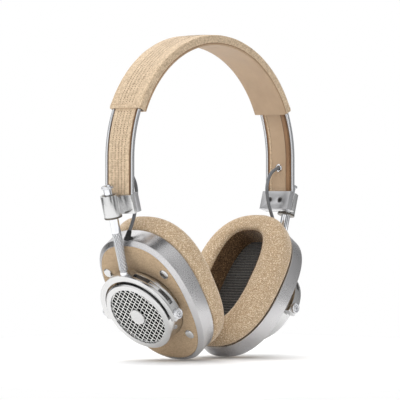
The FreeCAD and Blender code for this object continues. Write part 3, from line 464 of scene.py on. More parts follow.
headband = {"halfAngle": 66.2, "coverHalfWidth": 12.2, "coverOut": 72.97, "coverIn": 71.9,
            "sideIn": 11.35, "coverLow": 67.98, "crown": 0.25, "edgeRadius": 1.5, "steps": 168,
            "liningIn": 66.52, "liningOut": 67.9, "liningCrown": 0.3, "pipingRadius": 0.24,
            "lumps": 0.09, "hemWidth": 3.2, "hemRise": 0.18, "tuck": 0.35, "tuckWidth": 0.5, "outside": 70.0}


def bandPoint(angle, radius, across):
    return (radius * math.sin(angle), across, layout["arcCentre"] + radius * math.cos(angle))


def bandRows(section, spec):
    # the section carried round the head, thicker over the hems at its two ends
    half = math.radians(spec["halfAngle"])
    rows = []
    for step in range(spec["steps"] + 1):
        angle = half * (2 * step / spec["steps"] - 1)
        fromEnd = (half - abs(angle)) * spec["coverOut"]
        lift = spec["hemRise"] * max(0.0, 1 - (fromEnd / spec["hemWidth"]) ** 6)
        tuck = spec["tuck"] * max(0.0, 1 - fromEnd / spec["tuckWidth"])
        row = []
        for across, radius in section:
            push = spec["lumps"] * noise.noise(Vector((angle * 9, across * 0.35, radius * 0.2)))
            outer = 1.0 if radius > spec["outside"] else 0.0
            row.append(bandPoint(angle, radius + (push + lift - tuck) * outer, across))
        rows.append(row)
    return rows


def bandMesh(section, spec):
    # an even section from one end of the headband to the other
    half = math.radians(spec["halfAngle"])
    rows = [[bandPoint(half * (2 * step / spec["steps"] - 1), radius, across) for across, radius in section]
            for step in range(spec["steps"] + 1)]
    return capEnds(gridMesh(rows, rowFrame), len(section), len(rows))


def sectionLengths(section):
    lengths = [0.0]
    for here, there in zip(section, section[1:] + section[:1]):
        lengths.append(lengths[-1] + math.dist(here, there))
    return lengths


def makeHeadband(spec):
    wide, out, low = spec["coverHalfWidth"], spec["coverOut"], spec["coverLow"]
    top = []
    for step in range(-12, 13):
        across = (wide - spec["edgeRadius"]) * step / 12
        top.append((across, out - spec["crown"] * (across / wide) ** 2, 0))
    corners = ([(-wide, low, 0.2), (-wide, out - spec["crown"], spec["edgeRadius"])] + top
               + [(wide, out - spec["crown"], spec["edgeRadius"]), (wide, low, 0.2),
                  (spec["sideIn"], low, 0.2),
                  (spec["sideIn"], spec["coverIn"], 0.2), (-spec["sideIn"], spec["coverIn"], 0.2),
                  (-spec["sideIn"], low, 0.2)])
    section = rounded(corners, 4)
    rows = bandRows(section, spec)
    lengths = sectionLengths(section)
    arc = 2 * math.radians(spec["halfAngle"]) * out / spec["steps"]
    mesh = gridMesh(rows, rowFrame, uvOf=lambda j, i: (arc * j, lengths[i]))
    capEnds(mesh, len(section), len(rows))
    cover = addPiece("headbandCloth", mesh, "coverCanvas", "headband", ("headband_cover",))
    # lining, crowned a little towards the head
    inner, outer = spec["liningIn"], spec["liningOut"]
    edge = inner + spec["liningCrown"]
    under = [(wide * step / 10, inner + spec["liningCrown"] * (step / 10) ** 4, 0)
             for step in range(9, -10, -1)]
    corners = [(-wide, edge, 0.4), (-wide, outer, 0.3), (wide, outer, 0.3), (wide, edge, 0.4)] + under
    section = rounded(corners, 3)
    addPiece("headbandLining", bandMesh(section, spec), "liningLeather", "headband",
             ("headband_liner",))
    # brown piping along both edges of the lining; its darker brown is partly painted shade of the gap between
    # lining and cover
    for tag, hand in (("front", -1), ("rear", 1)):
        ring = circle(spec["pipingRadius"], 10, (hand * (wide - 0.1), outer + 0.04))
        mesh = bandMesh(ring, spec)
        addPiece(tag + "Piping", mesh, "boundEdge", "headband")


makeHeadband(headband)
print("headband made")

# Strap and rails below the headband

strap = {"halfWidth": 8.0, "inner": 69.32, "outer": 71.8, "end": -90.1, "lipWidth": 2.2, "seamRadius": 0.28,
         "railRadius": 1.1, "railLine": 70.55, "railAcross": 9.9}


def hoopPath(radius, end, legSteps=16, arcSteps=150):
    # (x, z, unit normal) from the left leg's foot over the head to the right one's
    centre, path = layout["arcCentre"], []
    for step in range(legSteps):
        path.append((-radius, end + (centre - end) * step / legSteps, (-1.0, 0.0)))
    for step in range(arcSteps + 1):
        angle = -math.pi / 2 + math.pi * step / arcSteps
        path.append((radius * math.sin(angle), centre + radius * math.cos(angle),
                     (math.sin(angle), math.cos(angle))))
    for step in range(1, legSteps + 1):
        path.append((radius, centre + (end - centre) * step / legSteps, (1.0, 0.0)))
    return path


def hoopMesh(section, radius, end, withCloth=False):
    # section of (across, distance outward of the path's radius)
    path = hoopPath(radius, end)
    rows = [[(x + normal[0] * rise, across, z + normal[1] * rise) for across, rise in section]
            for x, z, normal in path]
    lengths, run = sectionLengths(section), [0.0]
    for here, there in zip(path, path[1:]):
        run.append(run[-1] + math.dist(here[:2], there[:2]))
    uvOf = (lambda j, i: (run[j], lengths[i])) if withCloth else None
    return capEnds(gridMesh(rows, rowFrame, uvOf=uvOf), len(section), len(rows))


def makeStrap(spec):
    wide, lip = spec["halfWidth"], spec["lipWidth"]
    low, high = -(spec["outer"] - spec["inner"]) / 2, (spec["outer"] - spec["inner"]) / 2
    middle = (spec["outer"] + spec["inner"]) / 2
    floor = low + 0.55
    section = rounded([(-wide, low, 0.5), (-wide, high, 0.6), (0, high + 0.02, 0), (wide, high, 0.6),
                       (wide, low, 0.5),
                       (wide - lip, low, 0.15), (wide - lip, floor, 0), (lip - wide, floor, 0),
                       (lip - wide, low, 0.15)], 3)
    addPiece("strapCloth", hoopMesh(section, middle, spec["end"], True), "coverCanvas",
             "headband", ("strap",))
    half = wide - lip - 0.25
    section = rounded([(-half, low, 0.25), (half, low, 0.25), (half, floor + 0.05, 0),
                       (-half, floor + 0.05, 0)], 3)
    addPiece("strapLining", hoopMesh(section, middle, spec["end"]), "liningLeather",
             "headband")
    section = circle(spec["seamRadius"], 8, (-half - 0.12, low + 0.12))
    addPiece("strapSeam", hoopMesh(section, middle, spec["end"]), "brownEdge",
             "headband")
    for tag, hand, lip in (("front", -1, spec["lipWidth"]), ("rear", 1, 0.9)):
        section = rounded([(hand * (wide + 0.12), high - 0.5, 0.05), (hand * (wide + 0.12), low - 0.12, 0.4),
                           (hand * (wide - lip), low - 0.12, 0.1), (hand * (wide - lip), low + 0.1, 0),
                           (hand * (wide - 0.2), low + 0.1, 0), (hand * (wide - 0.2), high - 0.5, 0)], 3)
        addPiece(tag + "Binding", hoopMesh(section, middle, spec["end"]), "boundEdge",
                 "headband")
    for node, hand in (("front_rail", -1), ("rear_rail", 1)):
        section = circle(spec["railRadius"], 24, (hand * spec["railAcross"], 0.0))
        addPiece(node + "_piece", hoopMesh(section, spec["railLine"], spec["end"]), "springSteel",
                 "headband", (node,))


makeStrap(strap)
print("strap and rails made")

# Stitches: one geometry tree lays thread along a polyline


def newTree(name, sizes):
    tree = bpy.data.node_groups.new(name, "GeometryNodeTree")
    tree.interface.new_socket("Geometry", in_out="OUTPUT", socket_type="NodeSocketGeometry")
    tree.interface.new_socket("Geometry", in_out="INPUT", socket_type="NodeSocketGeometry")
    for label, kind in sizes.items():
        tree.interface.new_socket(label, in_out="INPUT", socket_type="NodeSocket" + kind)
    return tree, addNode(tree, "NodeGroupInput"), addNode(tree, "NodeGroupOutput")


def endTree(tree, outgoing, geometry, material):
    solid = addNode(tree, "GeometryNodeRealizeInstances", {0: geometry}).outputs[0]
    painted = addNode(tree, "GeometryNodeSetMaterial", {"Geometry": solid, "Material": material}).outputs[0]
    tree.links.new(painted, outgoing.inputs[0])


def runTree(base, tree, values):
    # runs the tree on a base mesh and returns its result as a plain mesh
    holder = bpy.data.objects.new("holder", base)
    scene.collection.objects.link(holder)
    modifier = holder.modifiers.new("tree", "NODES")
    modifier.node_group = tree
    for item in tree.interface.items_tree:
        if item.item_type == "SOCKET" and item.in_out == "INPUT" and item.name in values:
            modifier[item.identifier] = values[item.name]
    return bakedMesh(holder)


def stitchTree():
    tree, incoming, outgoing = newTree("stitches", {"Pitch": "Float", "Length": "Float", "Width": "Float",
                                                    "Height": "Float", "Thread": "Material"})
    line = addNode(tree, "GeometryNodeMeshToCurve", {0: incoming.outputs["Geometry"]}).outputs[0]
    spots = addNode(tree, "GeometryNodeCurveToPoints", {"Curve": line, "Length": incoming.outputs["Pitch"]},
                    mode="LENGTH")
    bead = addNode(tree, "GeometryNodeMeshUVSphere", {"Segments": 8, "Rings": 5, "Radius": 0.5}).outputs[0]
    shape = addNode(tree, "ShaderNodeCombineXYZ", {0: incoming.outputs["Width"],
                                                   1: incoming.outputs["Height"],
                                                   2: incoming.outputs["Length"]}).outputs[0]
    placed = addNode(tree, "GeometryNodeInstanceOnPoints", {"Points": spots.outputs["Points"],
                                                            "Instance": bead,
                                                            "Rotation": spots.outputs["Rotation"],
                                                            "Scale": shape}).outputs[0]
    endTree(tree, outgoing, placed, incoming.outputs["Thread"])
    return tree


stitching = {"rows": (-5.0, -2.5, 0.0, 2.5, 5.0), "pitch": 1.25, "length": 0.72, "width": 0.46,
             "height": 0.22, "hemRows": (-10.7, 10.7), "hemPitch": 2.3, "hemLength": 1.7, "hemWidth": 0.36}
stitches = stitchTree()


def lineMesh(lines):
    points, edges = [], []
    for line in lines:
        start = len(points)
        points += [rowFrame @ Vector(point) for point in line]
        edges += [(start + index, start + index + 1) for index in range(len(line) - 1)]
    mesh = bpy.data.meshes.new("lines")
    mesh.from_pydata(points, edges, [])
    return mesh


def makeStitches(spec):
    half = math.radians(headband["halfAngle"])
    angles = [half * 0.985 * (step / 60 - 1) for step in range(121)]
    rise = headband["coverOut"] + 0.02
    dotted = [[bandPoint(angle, rise - headband["crown"] * (across / headband["coverHalfWidth"]) ** 2,
                         across) for angle in angles]
              for across in spec["rows"]]
    for hand in (-1, 1):
        for across in spec["rows"]:
            leg = [(hand * (strap["outer"] + 0.03), across, layout["arcCentre"] - 19.6 * step / 10)
                   for step in range(11)]
            bend = [bandPoint(hand * (math.pi / 2 + (half + 0.03 - math.pi / 2) * (1 - step / 12)),
                              strap["outer"] + 0.03, across) for step in range(12)]
            dotted.append(bend + leg)
    values = {"Pitch": spec["pitch"] / 1000, "Length": spec["length"] / 1000, "Width": spec["width"] / 1000,
              "Height": spec["height"] / 1000, "Thread": finishes["stitchThread"]}
    mesh = runTree(lineMesh(dotted), stitches, values)
    addPiece("dottedStitching", mesh, "stitchThread", "headband", merge=False, sharp=60)
    hems = []
    for across in spec["hemRows"]:
        hems.append([bandPoint(angle, rise - headband["crown"] - 0.02, across) for angle in angles])
    for hand in (-1, 1):
        angle = hand * (half - 0.028)
        hems.append([bandPoint(angle, rise + 0.14 - headband["crown"] * (step / 11.4) ** 2, step * 10.4 / 9)
                     for step in range(-9, 10)])
    values.update({"Pitch": spec["hemPitch"] / 1000, "Length": spec["hemLength"] / 1000,
                   "Width": spec["hemWidth"] / 1000, "Thread": finishes["hemThread"]})
    mesh = runTree(lineMesh(hems), stitches, values)
    addPiece("hemStitching", mesh, "hemThread", "headband", merge=False, sharp=60)


makeStitches(stitching)
print("stitches made")

# Rods, caps, blocks and eyelets

rod = {"radius": 2.7, "foot": -1.3, "collar": 2.9, "grooveEnd": 3.5, "groove": 0.4, "knurlEnd": 26.0,
       "knurlRadius": 2.75, "knurlDepth": 0.36, "knurlStarts": 9, "top": 52.4, "capRadius": 3.6,
       "capTop": 54.0}


def knurlHeight(angle, height, starts, pitch):
    # pyramids where two screw threads cross
    turn = starts * angle / (2 * math.pi)
    rise = height / pitch
    first, second = (turn + rise) % 1.0, (turn - rise) % 1.0
    return min(1 - abs(2 * first - 1), 1 - abs(2 * second - 1))


def makeRod(name, spec):
    place, body = rodFrames[name], name + "_post"
    plain = spec["radius"]
    profile = [(0.0, spec["foot"]), (plain, spec["foot"]), (plain, spec["collar"] - 0.25),
               (plain - 0.25, spec["collar"]), (plain - spec["groove"], spec["collar"] + 0.05),
               (plain - spec["groove"], spec["grooveEnd"] - 0.05), (plain - 0.2, spec["grooveEnd"])]
    rows = 150
    profile += [(spec["knurlRadius"], spec["grooveEnd"] + 0.15 + (spec["knurlEnd"] - spec["grooveEnd"] - 0.3)
                 * step / rows) for step in range(rows + 1)]
    profile += [(plain - 0.15, spec["knurlEnd"]), (plain, spec["knurlEnd"] + 0.3), (plain, spec["top"]),
                (0.0, spec["top"])]
    pitch = 2 * math.pi * spec["knurlRadius"] / spec["knurlStarts"] * 1.25

    def cutKnurl(angle, radius, height):
        if radius < spec["knurlRadius"] - 0.001:
            return radius
        tooth = min(1.0, 1.5 * knurlHeight(angle, height, spec["knurlStarts"], pitch))
        return radius - spec["knurlDepth"] * (1 - tooth)

    mesh = latheMesh(profile, place, 168, False, cutKnurl)
    # the valleys of the knurling are darker: the dark metal there is painted shade in the knurl's hollows
    mesh = addPiece(name + "Rod", mesh, "knurledSteel", body, (name + "_rod",), sharp=28).data
    mesh.materials.append(finishes["darkAluminium"])
    away = place.inverted()
    for face in mesh.polygons:
        spot = away @ face.center
        deep = math.hypot(spot.x, spot.y) < spec["knurlRadius"] - 0.72 * spec["knurlDepth"]
        if deep and spec["grooveEnd"] < spot.z < spec["knurlEnd"]:
            face.material_index = 1
    wide, low, high = spec["capRadius"], spec["top"] + 0.02, spec["capTop"]
    corners = [(0.0, low, 0), (wide, low, 0.3), (wide, high, 0.45), (1.5, high, 0.15),
               (1.0, high - 0.55, 0.3),
               (0.0, high - 0.6, 0)]

    def millEdge(angle, radius, height):
        return radius - 0.1 * abs(math.sin(24 * angle)) if radius > wide - 0.02 else radius

    mesh = latheMesh(rounded(corners, 4, False), place, 192, False, millEdge)
    addPiece(name + "Cap", mesh, "chromeSteel", body, (name + "_rod_cap",), sharp=40)


eyelet = {"out": 69.3, "level": -71.5}


def makeEyelet(name, sign):
    seat = Matrix(((0, 0, -sign, sign * eyelet["out"]), (0, 1, 0, 0.0), (sign, 0, 0, eyelet["level"]),
                   (0, 0, 0, 1)))
    corners = [(1.3, -1.2, 0), (1.75, -1.2, 0), (1.75, 0.02, 0), (2.4, 0.02, 0.1), (2.4, 0.3, 0.25),
               (1.9, 0.62, 0.3), (1.3, 0.6, 0.3)]
    mesh = latheMesh(rounded(corners, 4), rowFrame @ seat, 64)
    addPiece(name + "Eyelet", mesh, "chromeSteel", "headband", (name + "_eyelet",))


def makeBlocks(name, sign):
    makeRod(name, rod)
    makeEyelet(name, sign)
    machinedCopy(name + "_end_block", "brightAluminium", "headband", 0.3)
    machinedCopy(name + "_clamp_plate", "plateAluminium", "headband", 0.25)
    machinedCopy(name + "_friction_bush", "bronzeBush", name + "_bush", 0.12, 2)


for name, sign in sides:
    makeBlocks(name, sign)
print("rods and blocks made")

# Clamp screws: one screw set on both places of each side


def placeTree():
    # sets a copy of the part, given in the row frame's directions, on each vertex of the base
    tree, incoming, outgoing = newTree("setOnPlaces", {"Part": "Object", "Metal": "Material"})
    part = addNode(tree, "GeometryNodeObjectInfo", {"Object": incoming.outputs["Part"]}).outputs["Geometry"]
    placed = addNode(tree, "GeometryNodeInstanceOnPoints", {"Points": incoming.outputs["Geometry"],
                                                            "Instance": part}).outputs[0]
    endTree(tree, outgoing, placed, incoming.outputs["Metal"])
    return tree


setOnPlaces = placeTree()


def setCopies(partMesh, places, finish):
    part = bpy.data.objects.new("part", partMesh)
    scene.collection.objects.link(part)
    base = bpy.data.meshes.new("places")
    base.from_pydata([tuple(place) for place in places], [], [])
    mesh = runTree(base, setOnPlaces, {"Part": part, "Metal": finish})
    bpy.data.objects.remove(part)
    return mesh


def hexRadius(angle, flat):
    sector = math.pi / 3
    return flat / math.cos((angle % sector) - sector / 2)


clampScrew = {"height": 41.3, "across": 4.0, "seat": -12.45, "head": 1.6, "headLength": 0.9, "shank": 0.9,
              "socket": 0.72, "socketDepth": 0.6}


def makeClampScrews(name, spec):
    # the screw's own Z points out of the plate, which is the rod frame's -X
    turn = Matrix(((0, 0, -1), (0, 1, 0), (1, 0, 0))).to_4x4()
    local = rodFrames[name].to_3x3().to_4x4() @ turn
    corners = [(0.0, -5.0, 0), (spec["shank"], -5.0, 0.15), (spec["shank"], -spec["headLength"], 0),
               (spec["head"], -spec["headLength"], 0.05), (spec["head"], 0.0, 0.22),
               (spec["socket"] + 0.12, 0.0, 0.06),
               (spec["socket"], -spec["socketDepth"], 0), (0.0, -spec["socketDepth"], 0)]

    def cutSocket(angle, radius, height):
        if radius > spec["socket"] + 0.25 or radius < 0.01 or height < -spec["socketDepth"] - 0.05:
            return radius
        return radius * hexRadius(angle, 0.9)

    screw = latheMesh(rounded(corners, 3, False), local, 48, False, cutSocket)
    places = [rodFrames[name] @ Vector((spec["seat"], hand * spec["across"],
                                        spec["height"])) for hand in (-1, 1)]
    mesh = setCopies(screw, places, finishes["darkAluminium"])
    addPiece(name + "ClampScrews", mesh, "darkAluminium", "headband", (name + "_clamp_screws",))


for name, sign in sides:
    makeClampScrews(name, clampScrew)
print("clamp screws made")

# Yokes, pivot screws and keys

yoke = {"bevel": 0.35, "headIn": 27.3, "headOut": 29.1, "headRadius": 3.2, "shankRadius": 1.25,
        "shankIn": 19.2,
        "keyIn": 25.75, "keyOut": 27.45, "keyHalf": 1.2, "ridge": 0.17, "ridgeStep": 2.4}


def makePivotScrews(name, spec):
    meshes = bmesh.new()
    wide, deep = spec["headRadius"], spec["headOut"] - spec["headIn"]
    tip = spec["shankIn"] - spec["headIn"]
    corners = [(0.0, tip, 0), (spec["shankRadius"], tip, 0.2),
               (spec["shankRadius"], 0.0, 0), (wide, 0.0, 0.15), (wide, deep - 0.35, 0.2),
               (wide - 0.55, deep, 0.25),
               (wide - 1.0, deep, 0.1), (wide - 1.2, deep - 0.3, 0.1), (wide - 1.75, deep - 0.3, 0.1),
               (wide - 1.95, deep, 0.1), (0.95, deep, 0.1), (0.8, deep - 0.5, 0.05), (0.0, deep - 0.5, 0)]

    def knurlHead(angle, radius, height):
        if radius > wide - 0.6 and height > 0.1:
            return radius - 0.16 * abs(math.sin(14 * angle))
        if 1.3 < radius < wide - 0.9 and height > 0.1:
            return radius + 0.05 * math.sin(18 * angle)
        return radius * hexRadius(angle, 0.9) if 0.01 < radius < 0.96 and height > deep - 0.55 else radius

    profile = rounded(corners, 3, False)
    for hand in (-1, 1):
        turn = Matrix(((0, 0, hand), (0, 1, 0), (-hand, 0, 0))).to_4x4()
        turn.translation = (hand * spec["headIn"], 0, 0)
        meshes.from_mesh(latheMesh(profile, cupFrames[name] @ turn, 168, False, knurlHead))
    mesh = bpy.data.meshes.new(name + "PivotScrews")
    meshes.to_mesh(mesh)
    meshes.free()
    addPiece(name + "PivotScrews", mesh, "knurledSteel", name + "_post",
             (name + "_pivot_screws",), sharp=40)


def makeKey(name, side, middle, sweep, spec, ridged):
    # arc-shaped key; the ridges run across it, in its outer face
    half, inner, outer = spec["keyHalf"], spec["keyIn"], spec["keyOut"]
    steps = max(24, int(sweep * 8))
    length = math.radians(sweep) * outer
    rows = []
    for step in range(steps + 1):
        angle = math.radians(middle - sweep / 2 + sweep * step / steps)
        along = length * (step / steps - 0.5)
        fromEnd = length / 2 - abs(along)
        ease = 0.3 * (1 - min(1.0, fromEnd / 0.45)) ** 2
        wave = spec["ridge"] * (1 - abs(math.sin(math.pi * along * spec["ridgeStep"] / 2))) if ridged else 0.0
        keep = min(1.0, max(0.0, (fromEnd - 0.5) / 0.4))
        top = outer - ease - (spec["ridge"] - wave) * keep * (1.0 if ridged else 0.0)
        section = rounded([(inner, -half, 0.1), (top, -half, 0.25), (top, half, 0.25), (inner, half, 0.1)], 3)
        rows.append([(radius * math.cos(angle), radius * math.sin(angle), level) for radius,
                     level in section])
    mesh = capEnds(gridMesh(rows, cupFrames[side]), len(rows[0]), len(rows))
    finish = "darkAluminium" if ridged else "brightAluminium"
    addPiece(name + "_piece", mesh, finish, name, (name,), sharp=30)


for name, sign in sides:
    machinedCopy(name + "_yoke", "brightAluminium", name + "_post", yoke["bevel"], 3)
    makePivotScrews(name, yoke)
for keyName, middle in (("key_volume_up", 62.2), ("key_play", 45.0), ("key_volume_down", 27.8)):
    makeKey(keyName, "left", middle, 15.4, yoke, keyName != "key_play")
makeKey("key_power", "right", 135.0, 34.0, yoke, True)
print("yokes and keys made")

# Ear cups: rim, face cloth, studs, turned ring, grille and disc

cup = {"halfWidth": 28.8, "halfHeight": 39.65, "taper": 0.03, "rise": 0.75, "power": 2.5, "face": -8.2,
       "back": -20.9, "drum": 22.5, "bezelIn": 18.9, "drumTop": 4.9, "drumLow": -14.2, "grilleLow": 3.7,
       "disc": 4.9, "discTop": 5.3, "stud": 3.0, "studHeight": 1.1}
studPlaces = ((22.0, 21.5), (-22.0, 21.5), (20.0, -21.0), (-20.0, -21.0))


def eggPoint(angle, grow, level):
    # the cup's rounded egg outline, moved out by grow
    power, wide, tall = cup["power"], cup["halfWidth"], cup["halfHeight"]
    cosine, sine = math.cos(angle), math.sin(angle)
    radius = (abs(cosine / wide) ** power + abs(sine / tall) ** power) ** (-1 / power)
    across, along = radius * cosine, radius * sine
    slope = Vector((math.copysign(abs(across) ** (power - 1) / wide ** power, across),
                    math.copysign(abs(along) ** (power - 1) / tall ** power, along))).normalized()
    return (across * (1 + cup["taper"] * along / tall) + grow * slope.x,
            along + grow * slope.y + cup["rise"], level)


def eggRing(profile, place, segments=256, uvOf=None):
    # closed section of (grow, level) carried round the outline
    rows = [[eggPoint(2 * math.pi * step / segments, grow, level) for step in range(segments)]
            for grow, level in profile]
    return gridMesh(rows, place, along=True, uvOf=uvOf)


def makeRim(name):
    back, front = cup["back"], cup["face"] - 0.3
    corners = [(0.16, back, 0.1), (0.16, front, 0.12), (0.42, front + 0.02, 0.12), (2.95, front - 2.1, 0.35),
               (2.95, back, 0.35)]
    mesh = eggRing(rounded(corners, 4), cupFrames[name], 320)
    addPiece(name + "Rim", mesh, "satinAluminium", name + "_cup",
             (name + "_rim",), sharp=50)


def makeFace(name):
    # cloth drawn over the plate and tucked in at the rim and the ring
    face, segments, hole = cup["face"], 192, cup["drum"] + 0.06
    spots = [(0.0, -0.9), (0.004, -0.25), (0.02, -0.06)]
    spots += [(0.06 + 0.82 * step / 14, 0.0) for step in range(15)]
    spots += [(0.93, -0.02), (0.965, -0.09), (0.985, -0.22), (0.997, -0.5), (0.997, -3.0), (0.0, -3.0)]
    rows = []
    for share, drop in spots:
        row = []
        for step in range(segments):
            angle = 2 * math.pi * step / segments
            edge = eggPoint(angle, 0.1, 0.0)
            start = (hole * math.cos(angle), hole * math.sin(angle))
            spot = [start[axis] + (edge[axis] - start[axis]) * share for axis in (0, 1)]
            lump = 0.03 * noise.noise(Vector((spot[0] * 0.2, spot[1] * 0.2, 3.0))) if drop > -0.1 else 0.0
            row.append((spot[0], spot[1], face + drop + lump))
        rows.append(row)

    def clothPlace(j, i):
        return rows[j % len(rows)][i % segments][:2]

    mesh = gridMesh(rows, cupFrames[name], along=True, uvOf=clothPlace)
    addPiece(name + "FaceCloth", mesh, "faceCanvas", name + "_cup", (name + "_face_plate",))
    wide, high = cup["stud"], cup["studHeight"]
    corners = [(0.0, -2.8, 0), (1.4, -2.8, 0), (1.4, 0.0, 0), (wide, 0.0, 0.1), (wide, 0.42, 0.2),
               (2.3, 0.92, 0.6),
               (1.1, high, 0.6), (0.0, high, 0)]
    local = cupFrames[name].to_3x3().to_4x4()
    stud = latheMesh(rounded(corners, 3, False), local, 48, False)
    places = [cupFrames[name] @ Vector((across, along, face)) for across, along in studPlaces]
    mesh = setCopies(stud, places, finishes["brightAluminium"])
    addPiece(name + "Studs", mesh, "brightAluminium", name + "_cup",
             (name + "_face_studs",))


def grilleTree():
    # two sets of wires that pass over and under each other inside a circle
    tree, incoming, outgoing = newTree("wovenGrille", {"Radius": "Float", "Pitch": "Float", "Wire": "Float",
                                                       "Wave": "Float", "Metal": "Material"})
    radius, pitch = incoming.outputs["Radius"], incoming.outputs["Pitch"]
    half = calc(tree, "FLOOR", calc(tree, "DIVIDE", radius, pitch))
    count = calc(tree, "MULTIPLY_ADD", half, 2.0, 1.0)
    sets = []
    for axis in (0, 1):
        away, shift = 1 - axis, (0.0 if axis == 0 else 0.5)
        ends = []
        for reach in (calc(tree, "MULTIPLY", radius, -1.0), radius):
            ends.append(combined(tree, {axis: reach}))
        line = addNode(tree, "GeometryNodeCurvePrimitiveLine", {"Start": ends[0], "End": ends[1]}).outputs[0]
        line = addNode(tree, "GeometryNodeResampleCurve", {"Curve": line, "Count": 150}).outputs[0]
        first = calc(tree, "MULTIPLY", calc(tree, "ADD", half, shift), calc(tree, "MULTIPLY", pitch, -1.0))
        start = combined(tree, {away: first})
        step = combined(tree, {away: pitch})
        total = calc(tree, "ADD", count, 2 * shift)
        spots = addNode(tree, "GeometryNodeMeshLine", {"Count": total, "Start Location": start,
                                                       "Offset": step})
        wires = addNode(tree, "GeometryNodeInstanceOnPoints",
                        {"Points": spots.outputs[0], "Instance": line}).outputs[0]
        wires = addNode(tree, "GeometryNodeRealizeInstances", {0: wires}).outputs[0]
        place = addNode(tree, "GeometryNodeInputPosition").outputs[0]
        parts = separated(tree, place)
        waves = [calc(tree, kind, calc(tree, "DIVIDE", calc(tree, "MULTIPLY", parts[index], math.pi), pitch))
                 for index, kind in ((0, "SINE"), (1, "COSINE"))]
        lift = calc(tree, "MULTIPLY", calc(tree, "MULTIPLY", waves[0], waves[1]), incoming.outputs["Wave"])
        lift = calc(tree, "MULTIPLY", lift, 1.0 if axis == 0 else -1.0)
        offset = combined(tree, {2: lift})
        wires = addNode(tree, "GeometryNodeSetPosition", {"Geometry": wires, "Offset": offset}).outputs[0]
        away2 = calc(tree, "ADD", calc(tree, "MULTIPLY", parts[0], parts[0]),
                     calc(tree, "MULTIPLY", parts[1], parts[1]))
        outside = calc(tree, "GREATER_THAN", away2, calc(tree, "MULTIPLY", radius, radius))
        wires = addNode(tree, "GeometryNodeDeleteGeometry", {"Geometry": wires,
                                                             "Selection": outside}).outputs[0]
        sets.append(wires)
    both = addNode(tree, "GeometryNodeJoinGeometry")
    for wires in sets:
        tree.links.new(wires, both.inputs[0])
    ring = addNode(tree, "GeometryNodeCurvePrimitiveCircle", {"Resolution": 6,
                                                              "Radius": incoming.outputs["Wire"]})
    tubes = addNode(tree, "GeometryNodeCurveToMesh", {"Curve": both.outputs[0],
                                                      "Profile Curve": ring.outputs[0],
                                                      "Fill Caps": True}).outputs[0]
    endTree(tree, outgoing, tubes, incoming.outputs["Metal"])
    return tree


grille = {"pitch": 2.6, "wire": 0.21, "wave": 0.18, "turn": 45.0, "level": 3.95}
wovenGrille = grilleTree()


def makeDrum(name):
    place, body = cupFrames[name], name + "_cup"
    machinedCopy(name + "_drum", "brightAluminium", body, 0.22, 3)
    values = {"Radius": cup["bezelIn"] - 0.15, "Pitch": grille["pitch"], "Wire": grille["wire"],
              "Wave": grille["wave"], "Metal": finishes["grilleWire"]}
    mesh = runTree(bpy.data.meshes.new("empty"), wovenGrille, values)
    turn = Matrix.Rotation(math.radians(grille["turn"]), 4, "Z")
    mesh.transform(place @ Matrix.Translation((0, 0, grille["level"])) @ turn)
    addPiece(name + "Grille", mesh, "grilleWire", body, (name + "_grille",), sharp=60)
    # the near-black back plate under the grille, partly painted shade seen through the holes
    corners = [(0.0, 1.0, 0), (18.35, 1.0, 0.1), (18.35, 1.8, 0.1), (0.0, 1.8, 0)]
    mesh = latheMesh(rounded(corners, 2, False), place, 96, False)
    addPiece(name + "GrilleBack", mesh, "grilleBack", body)
    wide, high = cup["disc"], cup["discTop"]
    corners = [(0.0, 3.6, 0), (wide, 3.6, 0.1), (wide, high, 0.22), (wide - 0.6, high + 0.03, 0.1),
               (wide - 0.75, high - 0.05, 0.05), (0.0, high - 0.05, 0)]
    mesh = latheMesh(rounded(corners, 3, False), place, 96, False)
    addPiece(name + "Disc", mesh, "brightAluminium", body, (name + "_centre_disc",))


for name, sign in sides:
    makeRim(name)
    makeFace(name)
    makeDrum(name)
machinedCopy("right_charge_socket", "plateAluminium", "right_cup", 0.15, 2)
print("cups made")

# Cushions: a sewn ring blown up by the cloth solver, with a darker wall inside the opening whose dark brown
# is partly painted shade

cushion = {"low": -21.0, "voxel": 0.0016, "pressure": 4.0, "frames": 20, "cap": 0.0012,
           "pinned": -22.2, "stretch": 0.27, "crease": -11.8, "swell": 1.3}


def ease(value, low, high):
    share = min(1.0, max(0.0, (value - low) / (high - low)))
    return share * share * (3 - 2 * share)


def cushionPoint(angle, grow, level, inset=0.0):
    # fuller towards its top, with an opening taller than the outline's own
    fuller = cushion["swell"] * max(0.0, math.sin(angle))
    fuller *= ease(-level, 22.0, 30.0) * ease(grow, -6.0, 1.0)
    x, y, z = eggPoint(angle, grow + fuller, level - 0.5 * fuller)
    tall = 1 + cushion["stretch"] * min(1.0, max(0.0, (-grow - 4) / 10)) ** 1.9
    along = (y - cup["rise"]) * tall
    nearer = 1 - inset / math.hypot(x, along)
    return (x * nearer, cup["rise"] + along * nearer, z)


def cushionRing(profile, place, segments):
    rows = [[cushionPoint(2 * math.pi * step / segments, *spot) for step in range(segments)]
            for spot in profile]
    return gridMesh(rows, place, along=True)


def cushionProfile():
    corners = [(2.7, cushion["low"], 0.5), (3.9, -24.0, 2.0), (3.7, -31.5, 3.5), (-0.2, -35.4, 4.0),
               (-6.0, -36.2, 3.0), (-10.4, -35.2, 1.2), (cushion["crease"], -33.2, 0.5), (-12.2, -30.0, 1.5),
               (-13.0, -25.0, 2.0), (-13.4, cushion["low"], 0.4)]
    return rounded(corners, 5)


